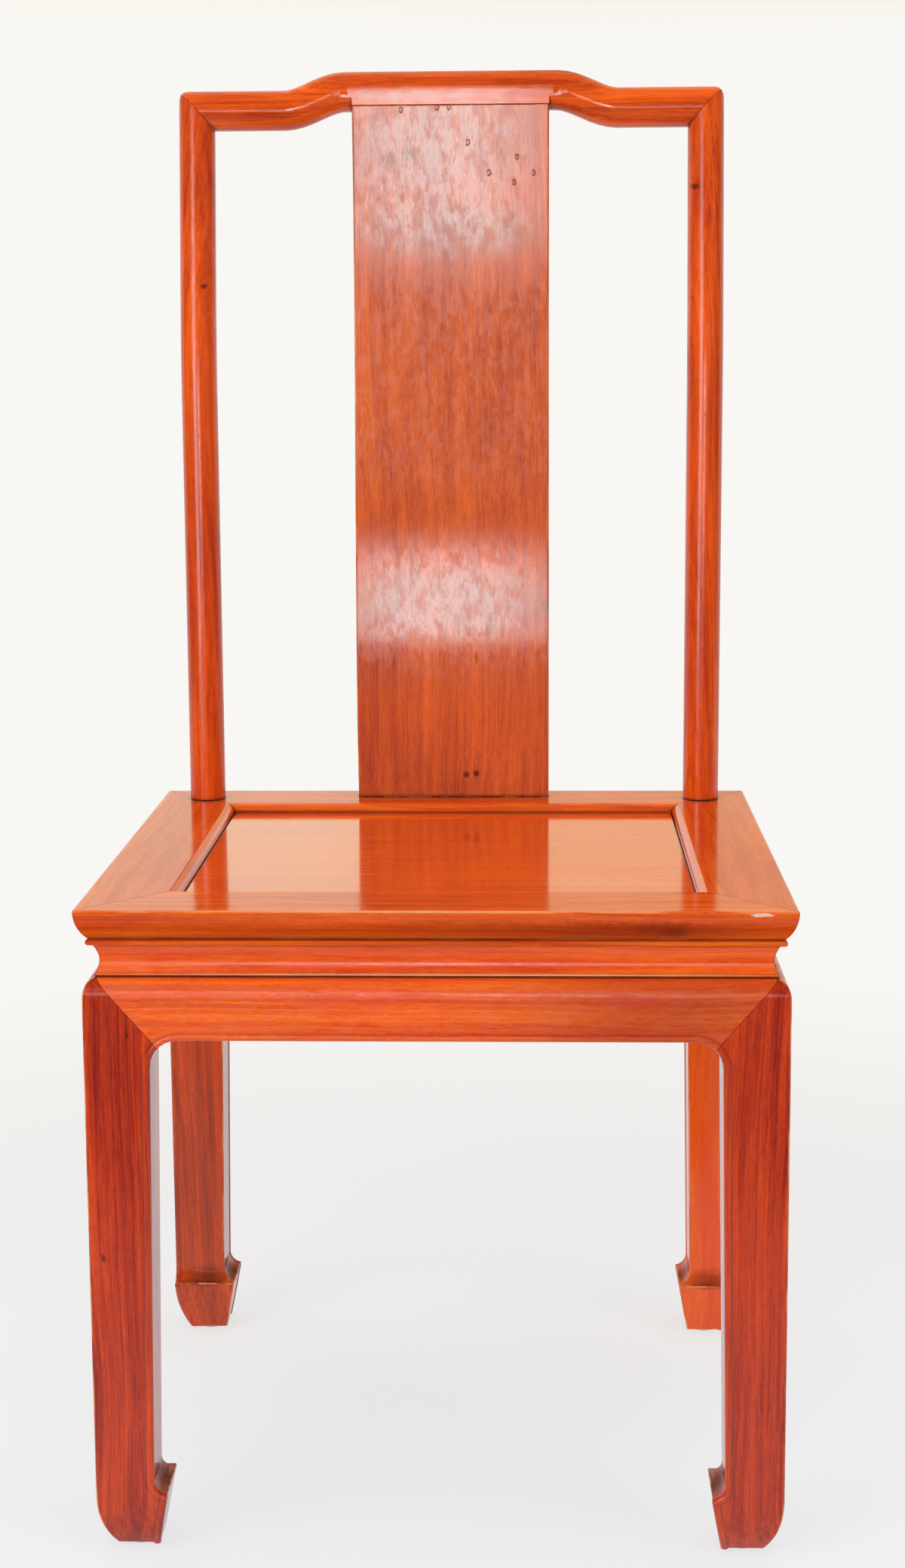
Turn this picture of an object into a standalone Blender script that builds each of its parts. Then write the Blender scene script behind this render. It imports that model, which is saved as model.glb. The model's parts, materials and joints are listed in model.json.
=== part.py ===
"""A Ming-style side chair in lacquered rosewood, modelled joint by joint at its real size.

The seat is a mitred frame round a floating panel. It stands on a hollow waist, and below that
four aprons mitre into square legs that end in inward hoof feet. Two round posts and an S-curved
splat carry a humped crest rail. Sizes are in metres, +Z is up and the chair faces -Y.
"""
import math

import bmesh
import bpy
from mathutils import Matrix, Vector

# Driving sizes
SEAT_WIDTH = 0.500
SEAT_DEPTH = 0.450
SEAT_TOP = 0.481
JOINT_GAP = 0.0003
HALF_GAP = JOINT_GAP / 2

# Seat frame
FRAME_THICKNESS = 0.0272
RAIL_WIDTH = 0.065
ARRIS = 0.0008
EDGE_CURVE_RADIUS = 0.0310
EDGE_CURVE_SWEEP = 43.5
EDGE_FILLET = 0.0009
INNER_MOULD_WIDTH = 0.0068
INNER_MOULD_DROP = 0.0054
INNER_MOULD_BULGE = 0.0010
RAIL_TENON_FROM = 0.020
RAIL_TENON_TO = 0.050
RAIL_TENON_REACH = 0.012
RAIL_TENON_TOP = 0.0102
RAIL_TENON_THICKNESS = 0.0050

# Seat panel and its two battens
PANEL_DROP = 0.0072
PANEL_THICKNESS = 0.012
PANEL_GAP = 0.0005
TONGUE_TOP = 0.0104
TONGUE_THICKNESS = 0.0048
TONGUE_REACH = 0.0068
BATTEN_OFFSET = 0.080
BATTEN_WIDTH = 0.030
BATTEN_DOVETAIL_NECK = 0.012
BATTEN_DOVETAIL_HEAD = 0.016
BATTEN_DOVETAIL_RISE = 0.0038
BATTEN_TENON_WIDTH = 0.018
BATTEN_TENON_THICKNESS = 0.0055
BATTEN_TENON_REACH = 0.012

# Waist
WAIST_HEIGHT = 0.0230
WAIST_TOP_INSET = 0.0115
WAIST_HOLLOW_INSET = 0.0152
WAIST_FOOT_INSET = 0.0128
WAIST_BEAD_RADIUS = 0.0010
WAIST_BACK_INSET = 0.030
WAIST_TONGUE_FROM = 0.0180
WAIST_TONGUE_TO = 0.0222
WAIST_TONGUE_RISE = 0.0035

# Aprons
APRON_HEIGHT = 0.0436
FACE_INSET = 0.0038
APRON_BACK_INSET = 0.027
SHOULDER_HEIGHT = 0.0145
APRON_CORNER_RADIUS = 0.020
CORNER_MITRE = 135
FACE_BEAD_RADIUS = 0.0029
FACE_BEAD_FROM_EDGE = 0.0022
FACE_BEAD_SINK = 0.0015
FACE_BEAD_OVERRUN = 30

# Legs
LEG_TOP_WIDTH = 0.0458
LEG_ANKLE_WIDTH = 0.0419
LEG_SPLAY = 0.0018
HOOF_ROUND_HEIGHT = 0.041
HOOF_ROUND_INSET = 0.0130
TOE_HEIGHT = 0.0435
TOE_CURVE_RADIUS = 0.0115
TOE_CURVE_SWEEP = 80
TOE_SOLE_REACH = 0.0015
TOE_BEAD_CUT = 0.0002
LEG_STUB_TO = 0.050
LEG_TENON_FROM = 0.033
LEG_TENON_TO = 0.047
LEG_TENON_RISE = 0.009
KEY_CENTRE = 0.041
KEY_NECK = 0.008
KEY_HEAD = 0.011
KEY_REACH = 0.007
KEY_TOP_DROP = 0.007

# Foot glides
GLIDE_RADIUS = 0.0105
GLIDE_THICKNESS = 0.003
GLIDE_EDGE = 0.0008
GLIDE_NAIL_RADIUS = 0.0012
GLIDE_NAIL_LENGTH = 0.012
GLIDE_SIDES = 20

# Back posts and crest rail
POST_RADIUS = 0.015
POST_SPREAD = 0.211
POST_SETBACK = 0.035
POST_TENON_RADIUS = 0.008
POST_TENON_LENGTH = 0.009
POST_LOWER_LEAN = 1.5
POST_UPPER_LEAN = 8.0
POST_LOWER_LENGTH = 0.335
POST_BEND_RADIUS = 0.75
POST_BEND_STEPS = 6
CREST_AXIS_RISE = 0.5740
CREST_HALF_HEIGHT = 0.01625
CREST_HUMP_RISE = 0.0148
CREST_HUMP_END = 0.088
CREST_OGEE_END = 0.138
CREST_OGEE_STEPS = 9
CREST_CORNER_RADIUS = 0.012
CREST_PIN_RADIUS = 0.006
CREST_PIN_REACH = 0.010
ROUND_SIDES = 24

# Splat
SPLAT_WIDTH = 0.163
SPLAT_THICKNESS = 0.0115
SPLAT_BASE_BEHIND_POST = 0.0094
SPLAT_TOP_BEHIND_BASE = 0.0221
SPLAT_BELLY = 0.026
SPLAT_HOLLOW = 0.034
SPLAT_BELLY_HEIGHT = 0.170
SPLAT_HOLLOW_HEIGHT = 0.330
SPLAT_STEPS = 22
SPLAT_EDGE_ROUND = 0.0016
SPLAT_TENON_WIDTH = 0.133
SPLAT_TENON_THICKNESS = 0.006
SPLAT_TENON_LENGTH = 0.009
SPLAT_TENON_INTO_CREST = 0.014
SPLAT_JOINT_RISE = 0.0042
LIP_RISE = 0.0085
LIP_DEPTH = 0.008
FACET_MARGIN = 0.003
FACET_END_RADIUS = 0.100
FACET_END_SWEEP = 8

# Sizes that follow from the ones above
FRAME_BOTTOM = SEAT_TOP - FRAME_THICKNESS
WAIST_BOTTOM = FRAME_BOTTOM - WAIST_HEIGHT
APRON_BOTTOM = WAIST_BOTTOM - APRON_HEIGHT
SOLE = GLIDE_THICKNESS
CREST_AXIS_HEIGHT = SEAT_TOP + CREST_AXIS_RISE
REAR_EDGE = SEAT_DEPTH / 2
POST_FOOT = REAR_EDGE - POST_SETBACK
SPLAT_FOOT = POST_FOOT + SPLAT_BASE_BEHIND_POST
SHOULDER_FOOT = WAIST_BOTTOM - SHOULDER_HEIGHT
HOOF_TOP = SOLE + HOOF_ROUND_HEIGHT
LEG_TOP_INSET = FACE_INSET + LEG_TOP_WIDTH
ANKLE_INSET = FACE_INSET - LEG_SPLAY + LEG_ANKLE_WIDTH
CORNER_CENTRE = LEG_TOP_INSET + APRON_CORNER_RADIUS
CORNER_CENTRE_HEIGHT = APRON_BOTTOM - APRON_CORNER_RADIUS
OVERSHOOT = 0.020

# Fineness of the curves, and finish
CURVE_STEPS = 7
CORNER_STEPS = 6
BEAD_STEPS = 6
SMALL_BEAD_STEPS = 4
FACET_END_STEPS = 4
BEAD_RESOLUTION = 4
MERGE_DISTANCE = 0.00001
FLAT_WITHIN = 0.05
SMOOTH_BELOW = 30
ROUND_ABOVE = 60
LACQUER_ROUGHNESS = 0.30
BARE_WOOD_ROUGHNESS = 0.60
GLIDE_ROUGHNESS = 0.50

ROSEWOOD_LEG = (0.48, 0.042, 0.014)
ROSEWOOD_APRON = (0.76, 0.085, 0.008)
ROSEWOOD_SEAT = (0.70, 0.090, 0.010)
ROSEWOOD_BACK = (0.60, 0.085, 0.025)
INNER_WOOD = (0.40, 0.120, 0.045)
GLIDE_WHITE = (0.80, 0.79, 0.75)


# Scene helpers
def clear_scene():
    for obj in list(bpy.data.objects):
        bpy.data.objects.remove(obj, do_unlink=True)
    for collection in list(bpy.data.collections):
        bpy.data.collections.remove(collection)


def link_new_collection(name):
    collection = bpy.data.collections.new(name)
    bpy.context.scene.collection.children.link(collection)
    return collection


def wood_material(name, colour, roughness):
    material = bpy.data.materials.new(name)
    material.use_nodes = True
    shader = material.node_tree.nodes["Principled BSDF"]
    shader.inputs["Base Color"].default_value = (*colour, 1.0)
    shader.inputs["Roughness"].default_value = roughness
    shader.inputs["Metallic"].default_value = 0.0
    return material


def object_from_bmesh(bm, name="tool"):
    bmesh.ops.recalc_face_normals(bm, faces=bm.faces[:])
    mesh = bpy.data.meshes.new(name)
    bm.to_mesh(mesh)
    bm.free()
    obj = bpy.data.objects.new(name, mesh)
    bpy.context.scene.collection.objects.link(obj)
    return obj


def bake(obj):
    """Replace the object's mesh by what its modifiers make of it."""
    depsgraph = bpy.context.evaluated_depsgraph_get()
    mesh = bpy.data.meshes.new_from_object(obj.evaluated_get(depsgraph))
    obj.modifiers.clear()
    obj.data = mesh


def boolean(target, tool, operation):
    """Join, cut or trim the target with a tool, and put the tool away."""
    modifier = target.modifiers.new(operation.lower(), "BOOLEAN")
    modifier.operation = operation
    modifier.solver = "EXACT"
    modifier.object = tool
    bake(target)
    bpy.data.objects.remove(tool, do_unlink=True)


def clean(obj):
    """Merge what the joints left almost touching, and join faces that lie in one plane."""
    bm = bmesh.new()
    bm.from_mesh(obj.data)
    bmesh.ops.remove_doubles(bm, verts=bm.verts[:], dist=MERGE_DISTANCE)
    bmesh.ops.dissolve_degenerate(bm, dist=MERGE_DISTANCE, edges=bm.edges[:])
    flat = math.radians(FLAT_WITHIN)
    bmesh.ops.dissolve_limit(bm, angle_limit=flat, verts=bm.verts[:], edges=bm.edges[:])
    bm.to_mesh(obj.data)
    bm.free()


def cut(target, *tools):
    for tool in tools:
        boolean(target, tool, "DIFFERENCE")


def join(target, *tools):
    for tool in tools:
        boolean(target, tool, "UNION")


# Shape helpers
def arc(centre, radius, start, end, steps):
    """Points of a circular arc, with its angles in degrees."""
    points = []
    for step in range(steps + 1):
        angle = math.radians(start + (end - start) * step / steps)
        points.append((centre[0] + radius * math.cos(angle), centre[1] + radius * math.sin(angle)))
    return points


def prism(outline, along, low, high):
    """Extrude a flat outline along X, Y or Z from low to high."""
    place = {
        "X": lambda a, b: (low, a, b),
        "Y": lambda a, b: (a, low, b),
        "Z": lambda a, b: (a, b, low),
    }[along]
    direction = Vector([high - low if axis == along else 0.0 for axis in "XYZ"])
    bm = bmesh.new()
    face = bm.faces.new([bm.verts.new(place(a, b)) for a, b in outline])
    extruded = bmesh.ops.extrude_face_region(bm, geom=[face])
    moved = [item for item in extruded["geom"] if isinstance(item, bmesh.types.BMVert)]
    bmesh.ops.translate(bm, verts=moved, vec=direction)
    return object_from_bmesh(bm)


def box(low, high):
    bm = bmesh.new()
    bmesh.ops.create_cube(bm, size=1.0)
    size = Vector(high) - Vector(low)
    middle = (Vector(high) + Vector(low)) / 2
    stretch = Matrix.Translation(middle) @ Matrix.Diagonal((*size, 1.0))
    bmesh.ops.transform(bm, matrix=stretch, verts=bm.verts)
    return object_from_bmesh(bm)


def rod(radius, low, high, place=Matrix()):
    """A round peg along its own Z from low to high."""
    bm = bmesh.new()
    middle = Matrix.Translation((0, 0, (low + high) / 2))
    bmesh.ops.create_cone(
        bm, cap_ends=True, segments=ROUND_SIDES, radius1=radius, radius2=radius,
        depth=high - low, matrix=place @ middle,
    )
    return object_from_bmesh(bm)


def transform(obj, matrix):
    """Move the mesh itself, and keep its faces pointing out when the matrix mirrors it."""
    obj.data.transform(matrix)
    if matrix.determinant() < 0:
        obj.data.flip_normals()
    obj.data.update()
    return obj


def slice_off(obj, point, normal):
    """Cut away what lies beyond a plane and close the cut with one face."""
    bm = bmesh.new()
    bm.from_mesh(obj.data)
    geometry = bm.verts[:] + bm.edges[:] + bm.faces[:]
    result = bmesh.ops.bisect_plane(bm, geom=geometry, plane_co=point, plane_no=normal, clear_outer=True)
    rim = [item for item in result["geom_cut"] if isinstance(item, bmesh.types.BMEdge)]
    bmesh.ops.edgeloop_fill(bm, edges=rim)
    bmesh.ops.recalc_face_normals(bm, faces=bm.faces[:])
    bm.to_mesh(obj.data)
    bm.free()


def tube(points, radius, resolution):
    """A round bar along a polyline, as a closed mesh."""
    curve = bpy.data.curves.new("tube", "CURVE")
    curve.dimensions = "3D"
    curve.bevel_depth = radius
    curve.bevel_resolution = resolution
    curve.use_fill_caps = True
    return mesh_from_curve(curve, points)


def mesh_from_curve(curve, points):
    spline = curve.splines.new("POLY")
    spline.points.add(len(points) - 1)
    for spline_point, point in zip(spline.points, points):
        spline_point.co = (*point, 1.0)
    bar = bpy.data.objects.new("bar", curve)
    bpy.context.scene.collection.objects.link(bar)
    depsgraph = bpy.context.evaluated_depsgraph_get()
    mesh = bpy.data.meshes.new_from_object(bar.evaluated_get(depsgraph))
    bpy.data.objects.remove(bar, do_unlink=True)
    bm = bmesh.new()
    bm.from_mesh(mesh)
    bmesh.ops.remove_doubles(bm, verts=bm.verts[:], dist=MERGE_DISTANCE)
    return object_from_bmesh(bm)


def mitred_strip(profile, length, depth):
    """A front member: a section run along X and cut at 45 degrees at both ends."""
    outer = -depth / 2
    strip = prism([(outer + inset, height) for inset, height in profile], "X", -length / 2, length / 2)
    for side in (-1, 1):
        corner = Vector((side * (length / 2 - JOINT_GAP), outer, 0))
        slice_off(strip, corner, Vector((side, 1, 0)).normalized())
    return strip


SIDES = {
    "front": (SEAT_WIDTH, SEAT_DEPTH, 0),
    "rear": (SEAT_WIDTH, SEAT_DEPTH, 180),
    "left": (SEAT_DEPTH, SEAT_WIDTH, -90),
    "right": (SEAT_DEPTH, SEAT_WIDTH, 90),
}
HANDS = {"left": -1, "right": 1}
CORNERS = {
    "front_left": (-1, -1, 0),
    "front_right": (1, -1, 90),
    "rear_right": (1, 1, 180),
    "rear_left": (-1, 1, 270),
}


def turn(degrees):
    return Matrix.Rotation(math.radians(degrees), 4, "Z")


def corner_place(corner):
    """Turn a corner's own frame, with its insets along X and Y, to its place on the seat."""
    side_x, side_y, degrees = CORNERS[corner]
    return Matrix.Translation((side_x * SEAT_WIDTH / 2, side_y * SEAT_DEPTH / 2, 0)) @ turn(degrees)


# Seat frame
def rail_profile():
    """Section of a seat rail: inset from the outer edge against height."""
    curve_centre = (EDGE_CURVE_RADIUS, SEAT_TOP - ARRIS)
    edge_curve = arc(curve_centre, EDGE_CURVE_RADIUS, 180, 180 + EDGE_CURVE_SWEEP, CURVE_STEPS)
    curve_end = edge_curve[-1]
    bead_radius = (curve_end[1] - FRAME_BOTTOM) / 2
    bead_centre = (curve_end[0] + EDGE_FILLET, FRAME_BOTTOM + bead_radius)
    bead = arc(bead_centre, bead_radius, 90, 270, BEAD_STEPS)
    groove_top = FRAME_BOTTOM + WAIST_TONGUE_RISE + JOINT_GAP
    waist_groove = [
        (WAIST_TONGUE_FROM - JOINT_GAP, FRAME_BOTTOM),
        (WAIST_TONGUE_FROM - JOINT_GAP, groove_top),
        (WAIST_TONGUE_TO + JOINT_GAP, groove_top),
        (WAIST_TONGUE_TO + JOINT_GAP, FRAME_BOTTOM),
    ]
    groove_back = RAIL_WIDTH - TONGUE_REACH
    tongue_bottom = SEAT_TOP - TONGUE_TOP - TONGUE_THICKNESS
    inner_face = [
        (RAIL_WIDTH, FRAME_BOTTOM),
        (RAIL_WIDTH, tongue_bottom - JOINT_GAP),
        (groove_back, tongue_bottom - JOINT_GAP),
        (groove_back, SEAT_TOP - TONGUE_TOP + JOINT_GAP),
        (RAIL_WIDTH, SEAT_TOP - TONGUE_TOP + JOINT_GAP),
    ]
    mould_foot = Vector((RAIL_WIDTH, SEAT_TOP - INNER_MOULD_DROP))
    mould_top = Vector((RAIL_WIDTH - INNER_MOULD_WIDTH, SEAT_TOP))
    outward = Vector((INNER_MOULD_DROP, INNER_MOULD_WIDTH)).normalized()
    mould = []
    for step in range(CURVE_STEPS + 1):
        share = step / CURVE_STEPS
        swell = outward * INNER_MOULD_BULGE * math.sin(math.pi * share)
        mould.append(tuple(mould_foot.lerp(mould_top, share) + swell))
    top_arris = [(ARRIS, SEAT_TOP)]
    return edge_curve + bead + waist_groove + inner_face + mould + top_arris


def leg_mortise(corner):
    low = (LEG_TENON_FROM - JOINT_GAP, LEG_TENON_FROM - JOINT_GAP, FRAME_BOTTOM - OVERSHOOT)
    high = (LEG_TENON_TO + JOINT_GAP, LEG_TENON_TO + JOINT_GAP, FRAME_BOTTOM + LEG_TENON_RISE + JOINT_GAP)
    return transform(box(low, high), corner_place(corner))


def rail_tenon(side_x, side_y, clearance):
    """The blind tenon that a front or rear rail pushes through the mitre into a side rail."""
    inner_x = SEAT_WIDTH / 2 - RAIL_WIDTH
    outer_x = SEAT_WIDTH / 2 - RAIL_TENON_REACH + clearance
    near_y = SEAT_DEPTH / 2 - RAIL_TENON_TO - clearance
    far_y = SEAT_DEPTH / 2 - RAIL_TENON_FROM + clearance
    top = SEAT_TOP - RAIL_TENON_TOP
    tenon = box((inner_x, near_y, top - RAIL_TENON_THICKNESS - clearance), (outer_x, far_y, top + clearance))
    return transform(tenon, Matrix.Diagonal((side_x, side_y, 1, 1)))


def post_mortise(side_x):
    foot = Matrix.Translation((side_x * POST_SPREAD, POST_FOOT, SEAT_TOP))
    return rod(POST_TENON_RADIUS + JOINT_GAP, -POST_TENON_LENGTH - JOINT_GAP, OVERSHOOT, foot)


def splat_foot_tenon(clearance, top):
    half_width = SPLAT_TENON_WIDTH / 2 + clearance
    half_depth = SPLAT_TENON_THICKNESS / 2 + clearance
    bottom = SEAT_TOP - SPLAT_TENON_LENGTH - clearance
    return box((-half_width, SPLAT_FOOT - half_depth, bottom), (half_width, SPLAT_FOOT + half_depth, top))


def batten_tenons(side_x, clearance):
    half_width = BATTEN_TENON_WIDTH / 2 + clearance
    reach = SEAT_DEPTH / 2 - RAIL_WIDTH + BATTEN_TENON_REACH + clearance
    middle_x = side_x * BATTEN_OFFSET
    bottom = FRAME_BOTTOM + BATTEN_TENON_THICKNESS / 4
    low = (middle_x - half_width, -reach, bottom - clearance)
    high = (middle_x + half_width, reach, bottom + BATTEN_TENON_THICKNESS + clearance)
    return box(low, high)


def seat_rail(side):
    length, depth, degrees = SIDES[side]
    rail = transform(mitred_strip(rail_profile(), length, depth), turn(degrees))
    side_y = -1 if side == "front" else 1
    if side in ("front", "rear"):
        join(rail, rail_tenon(-1, side_y, 0.0), rail_tenon(1, side_y, 0.0))
        cut(rail, batten_tenons(-1, JOINT_GAP), batten_tenons(1, JOINT_GAP))
    else:
        cut(rail, rail_tenon(HANDS[side], -1, JOINT_GAP), rail_tenon(HANDS[side], 1, JOINT_GAP))
    cut(rail, *[leg_mortise(corner) for corner in CORNERS if side in corner])
    if side != "front":
        cut(rail, *[post_mortise(sign) for hand, sign in HANDS.items() if side in ("rear", hand)])
    if side == "rear":
        cut(rail, splat_foot_tenon(JOINT_GAP, SEAT_TOP + OVERSHOOT))
    return rail


# Seat panel and battens
def batten_outline(side_x, clearance):
    """Section of a batten with the dovetail that slides into the panel."""
    top = SEAT_TOP - PANEL_DROP - PANEL_THICKNESS
    middle_x = side_x * BATTEN_OFFSET
    half_neck = BATTEN_DOVETAIL_NECK / 2 + clearance
    half_head = BATTEN_DOVETAIL_HEAD / 2 + clearance
    shoulder = top - JOINT_GAP
    dovetail = [
        (middle_x + half_neck, shoulder),
        (middle_x + half_head, top + BATTEN_DOVETAIL_RISE + clearance),
        (middle_x - half_head, top + BATTEN_DOVETAIL_RISE + clearance),
        (middle_x - half_neck, shoulder),
    ]
    half_width = BATTEN_WIDTH / 2
    block = [
        (middle_x - half_width, shoulder),
        (middle_x - half_width, FRAME_BOTTOM),
        (middle_x + half_width, FRAME_BOTTOM),
        (middle_x + half_width, shoulder),
    ]
    return dovetail + block


def seat_panel():
    half_x = SEAT_WIDTH / 2 - RAIL_WIDTH - PANEL_GAP
    half_y = SEAT_DEPTH / 2 - RAIL_WIDTH - PANEL_GAP
    top = SEAT_TOP - PANEL_DROP
    panel = box((-half_x, -half_y, top - PANEL_THICKNESS), (half_x, half_y, top))
    reach = TONGUE_REACH - PANEL_GAP
    tongue_top = SEAT_TOP - TONGUE_TOP
    tongue_low = (-half_x - reach, -half_y - reach, tongue_top - TONGUE_THICKNESS)
    join(panel, box(tongue_low, (half_x + reach, half_y + reach, tongue_top)))
    for side_x in (-1, 1):
        groove = batten_outline(side_x, JOINT_GAP)
        cut(panel, prism(groove, "Y", -SEAT_DEPTH / 2, SEAT_DEPTH / 2))
    return panel


def seat_batten(side_x):
    half_length = SEAT_DEPTH / 2 - RAIL_WIDTH - JOINT_GAP
    batten = prism(batten_outline(side_x, 0.0), "Y", -half_length, half_length)
    join(batten, batten_tenons(side_x, 0.0))
    return batten


# Waist
def waist_profile():
    """Hollow section with a tongue up into the frame and one down into the apron."""
    top = FRAME_BOTTOM - JOINT_GAP
    bottom = WAIST_BOTTOM + JOINT_GAP
    bead_top = bottom + 2 * WAIST_BEAD_RADIUS
    hollow = []
    for step in range(CURVE_STEPS + 1):
        share = step / CURVE_STEPS
        straight = WAIST_TOP_INSET + (WAIST_FOOT_INSET - WAIST_TOP_INSET) * share
        dip = WAIST_HOLLOW_INSET - (WAIST_TOP_INSET + WAIST_FOOT_INSET) / 2
        hollow.append((straight + dip * math.sin(math.pi * share), top + (bead_top - top) * share))
    bead_centre = (WAIST_FOOT_INSET, bottom + WAIST_BEAD_RADIUS)
    bead = arc(bead_centre, WAIST_BEAD_RADIUS, 90, 270, SMALL_BEAD_STEPS)[1:]
    lower_tongue = [
        (WAIST_TONGUE_FROM, bottom),
        (WAIST_TONGUE_FROM, bottom - WAIST_TONGUE_RISE),
        (WAIST_TONGUE_TO, bottom - WAIST_TONGUE_RISE),
        (WAIST_TONGUE_TO, bottom),
    ]
    back = [(WAIST_BACK_INSET, bottom), (WAIST_BACK_INSET, top)]
    upper_tongue = [
        (WAIST_TONGUE_TO, top),
        (WAIST_TONGUE_TO, top + WAIST_TONGUE_RISE),
        (WAIST_TONGUE_FROM, top + WAIST_TONGUE_RISE),
        (WAIST_TONGUE_FROM, top),
    ]
    return hollow + bead + lower_tongue + back + upper_tongue


def waist_strip(side):
    length, depth, degrees = SIDES[side]
    return transform(mitred_strip(waist_profile(), length, depth), turn(degrees))


# Aprons
def shoulder_curve():
    """The round shoulder that legs and aprons share, from the face up to the foot of the waist."""
    points = []
    for step in range(CURVE_STEPS + 1):
        angle = math.radians(90 * step / CURVE_STEPS)
        inset = FACE_INSET + (WAIST_FOOT_INSET - FACE_INSET) * (1 - math.cos(angle))
        points.append((inset, WAIST_BOTTOM - SHOULDER_HEIGHT * (1 - math.sin(angle))))
    return points


def apron_profile():
    low = APRON_BOTTOM - APRON_CORNER_RADIUS
    groove_floor = WAIST_BOTTOM - WAIST_TONGUE_RISE - JOINT_GAP
    groove = [
        (WAIST_TONGUE_FROM - JOINT_GAP, WAIST_BOTTOM),
        (WAIST_TONGUE_FROM - JOINT_GAP, groove_floor),
        (WAIST_TONGUE_TO + JOINT_GAP, groove_floor),
        (WAIST_TONGUE_TO + JOINT_GAP, WAIST_BOTTOM),
    ]
    back = [(APRON_BACK_INSET, WAIST_BOTTOM), (APRON_BACK_INSET, low), (FACE_INSET, low)]
    return shoulder_curve() + groove + back


def mitre_line(offset):
    """Two far points of the face mitre between leg and apron, as inset against height."""
    start = Vector((WAIST_FOOT_INSET, WAIST_BOTTOM))
    end = Vector(corner_arc(180, CORNER_MITRE)[-1])
    along = (end - start).normalized()
    across = Vector((-along.y, along.x)) * offset
    return start - along * OVERSHOOT + across, end + along * OVERSHOOT + across


def corner_arc(start, end):
    """The round corner under the apron, with 90 at the apron and 180 at the leg."""
    return arc((CORNER_CENTRE, CORNER_CENTRE_HEIGHT), APRON_CORNER_RADIUS, start, end, CORNER_STEPS)


def key_prism(clearance):
    """The upright dovetail key on a leg's core, in the corner's frame, facing the front apron."""
    root = APRON_BACK_INSET + JOINT_GAP + KEY_REACH / 2
    half_neck = KEY_NECK / 2 + clearance
    half_head = KEY_HEAD / 2 + clearance
    head = APRON_BACK_INSET - KEY_REACH - clearance
    neck = APRON_BACK_INSET
    outline = [
        (KEY_CENTRE - half_neck, root),
        (KEY_CENTRE - half_neck, neck),
        (KEY_CENTRE - half_head, head),
        (KEY_CENTRE + half_head, head),
        (KEY_CENTRE + half_neck, neck),
        (KEY_CENTRE + half_neck, root),
    ]
    top = WAIST_BOTTOM - KEY_TOP_DROP + clearance
    return prism(outline, "Z", APRON_BOTTOM, top)


def underside(half, limit):
    """The lower edge of an apron, going round the corners at its ends as far as a limit."""
    left = [(inset - half, height) for inset, height in corner_arc(limit, 90)]
    return left + [(-x, height) for x, height in left[::-1]]


def apron(side):
    length, depth, degrees = SIDES[side]
    half = length / 2
    outer = -depth / 2
    board = mitred_strip(apron_profile(), length, depth)
    edge = underside(half, 180)
    waste_bottom = APRON_BOTTOM - 2 * APRON_CORNER_RADIUS
    waste = edge + [(edge[-1][0], waste_bottom), (edge[0][0], waste_bottom)]
    cut(board, prism(waste, "Y", outer - OVERSHOOT, outer + APRON_BACK_INSET + OVERSHOOT))
    bead_path = []
    for x, height in underside(half, CORNER_MITRE + FACE_BEAD_OVERRUN):
        corner = Vector((math.copysign(half - CORNER_CENTRE, x), CORNER_CENTRE_HEIGHT))
        outward = (Vector((x, height)) - corner).normalized() * FACE_BEAD_FROM_EDGE
        bead_path.append((x + outward.x, outer + FACE_INSET + FACE_BEAD_SINK, height + outward.y))
    join(board, tube(bead_path, FACE_BEAD_RADIUS, BEAD_RESOLUTION))
    high_end, low_end = mitre_line(HALF_GAP)
    leg_side = [tuple(high_end), tuple(low_end), (-OVERSHOOT, low_end.y), (-OVERSHOOT, high_end.y)]
    for hand in (-1, 1):
        outline = [(hand * (half - inset), height) for inset, height in leg_side]
        cut(board, prism(outline, "Y", outer - OVERSHOOT, outer + APRON_BACK_INSET + OVERSHOOT))
        socket = transform(key_prism(JOINT_GAP), Matrix.Translation((-half, outer, 0)))
        cut(board, transform(socket, Matrix.Diagonal((-hand, 1, 1, 1))))
    return transform(board, turn(degrees))


# Legs
def outer_face(height):
    """Inset of a leg's outer faces at a height: a slight splay, then the round of the hoof."""
    share = (SHOULDER_FOOT - max(height, HOOF_TOP)) / (SHOULDER_FOOT - HOOF_TOP)
    radius = (HOOF_ROUND_HEIGHT ** 2 + HOOF_ROUND_INSET ** 2) / (2 * HOOF_ROUND_INSET)
    below = max(0.0, HOOF_TOP - height)
    return FACE_INSET - LEG_SPLAY * max(share, 0.0) + radius - math.sqrt(radius ** 2 - below ** 2)


def toe_curve():
    """The hollow over the toe, from its tip up to the straight of the leg."""
    toe_start = SOLE + TOE_HEIGHT + TOE_CURVE_RADIUS * math.sin(math.radians(TOE_CURVE_SWEEP))
    toe_centre = (ANKLE_INSET + TOE_CURVE_RADIUS, toe_start)
    return arc(toe_centre, TOE_CURVE_RADIUS, 180 + TOE_CURVE_SWEEP, 180, CURVE_STEPS)


def toe_front():
    """The front of the toe, from its sole up to its tip."""
    sole = Vector((ANKLE_INSET + TOE_SOLE_REACH, SOLE))
    tip = Vector(toe_curve()[0])
    return [tuple(sole.lerp(tip, step / CURVE_STEPS)) for step in range(CURVE_STEPS + 1)]


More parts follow.
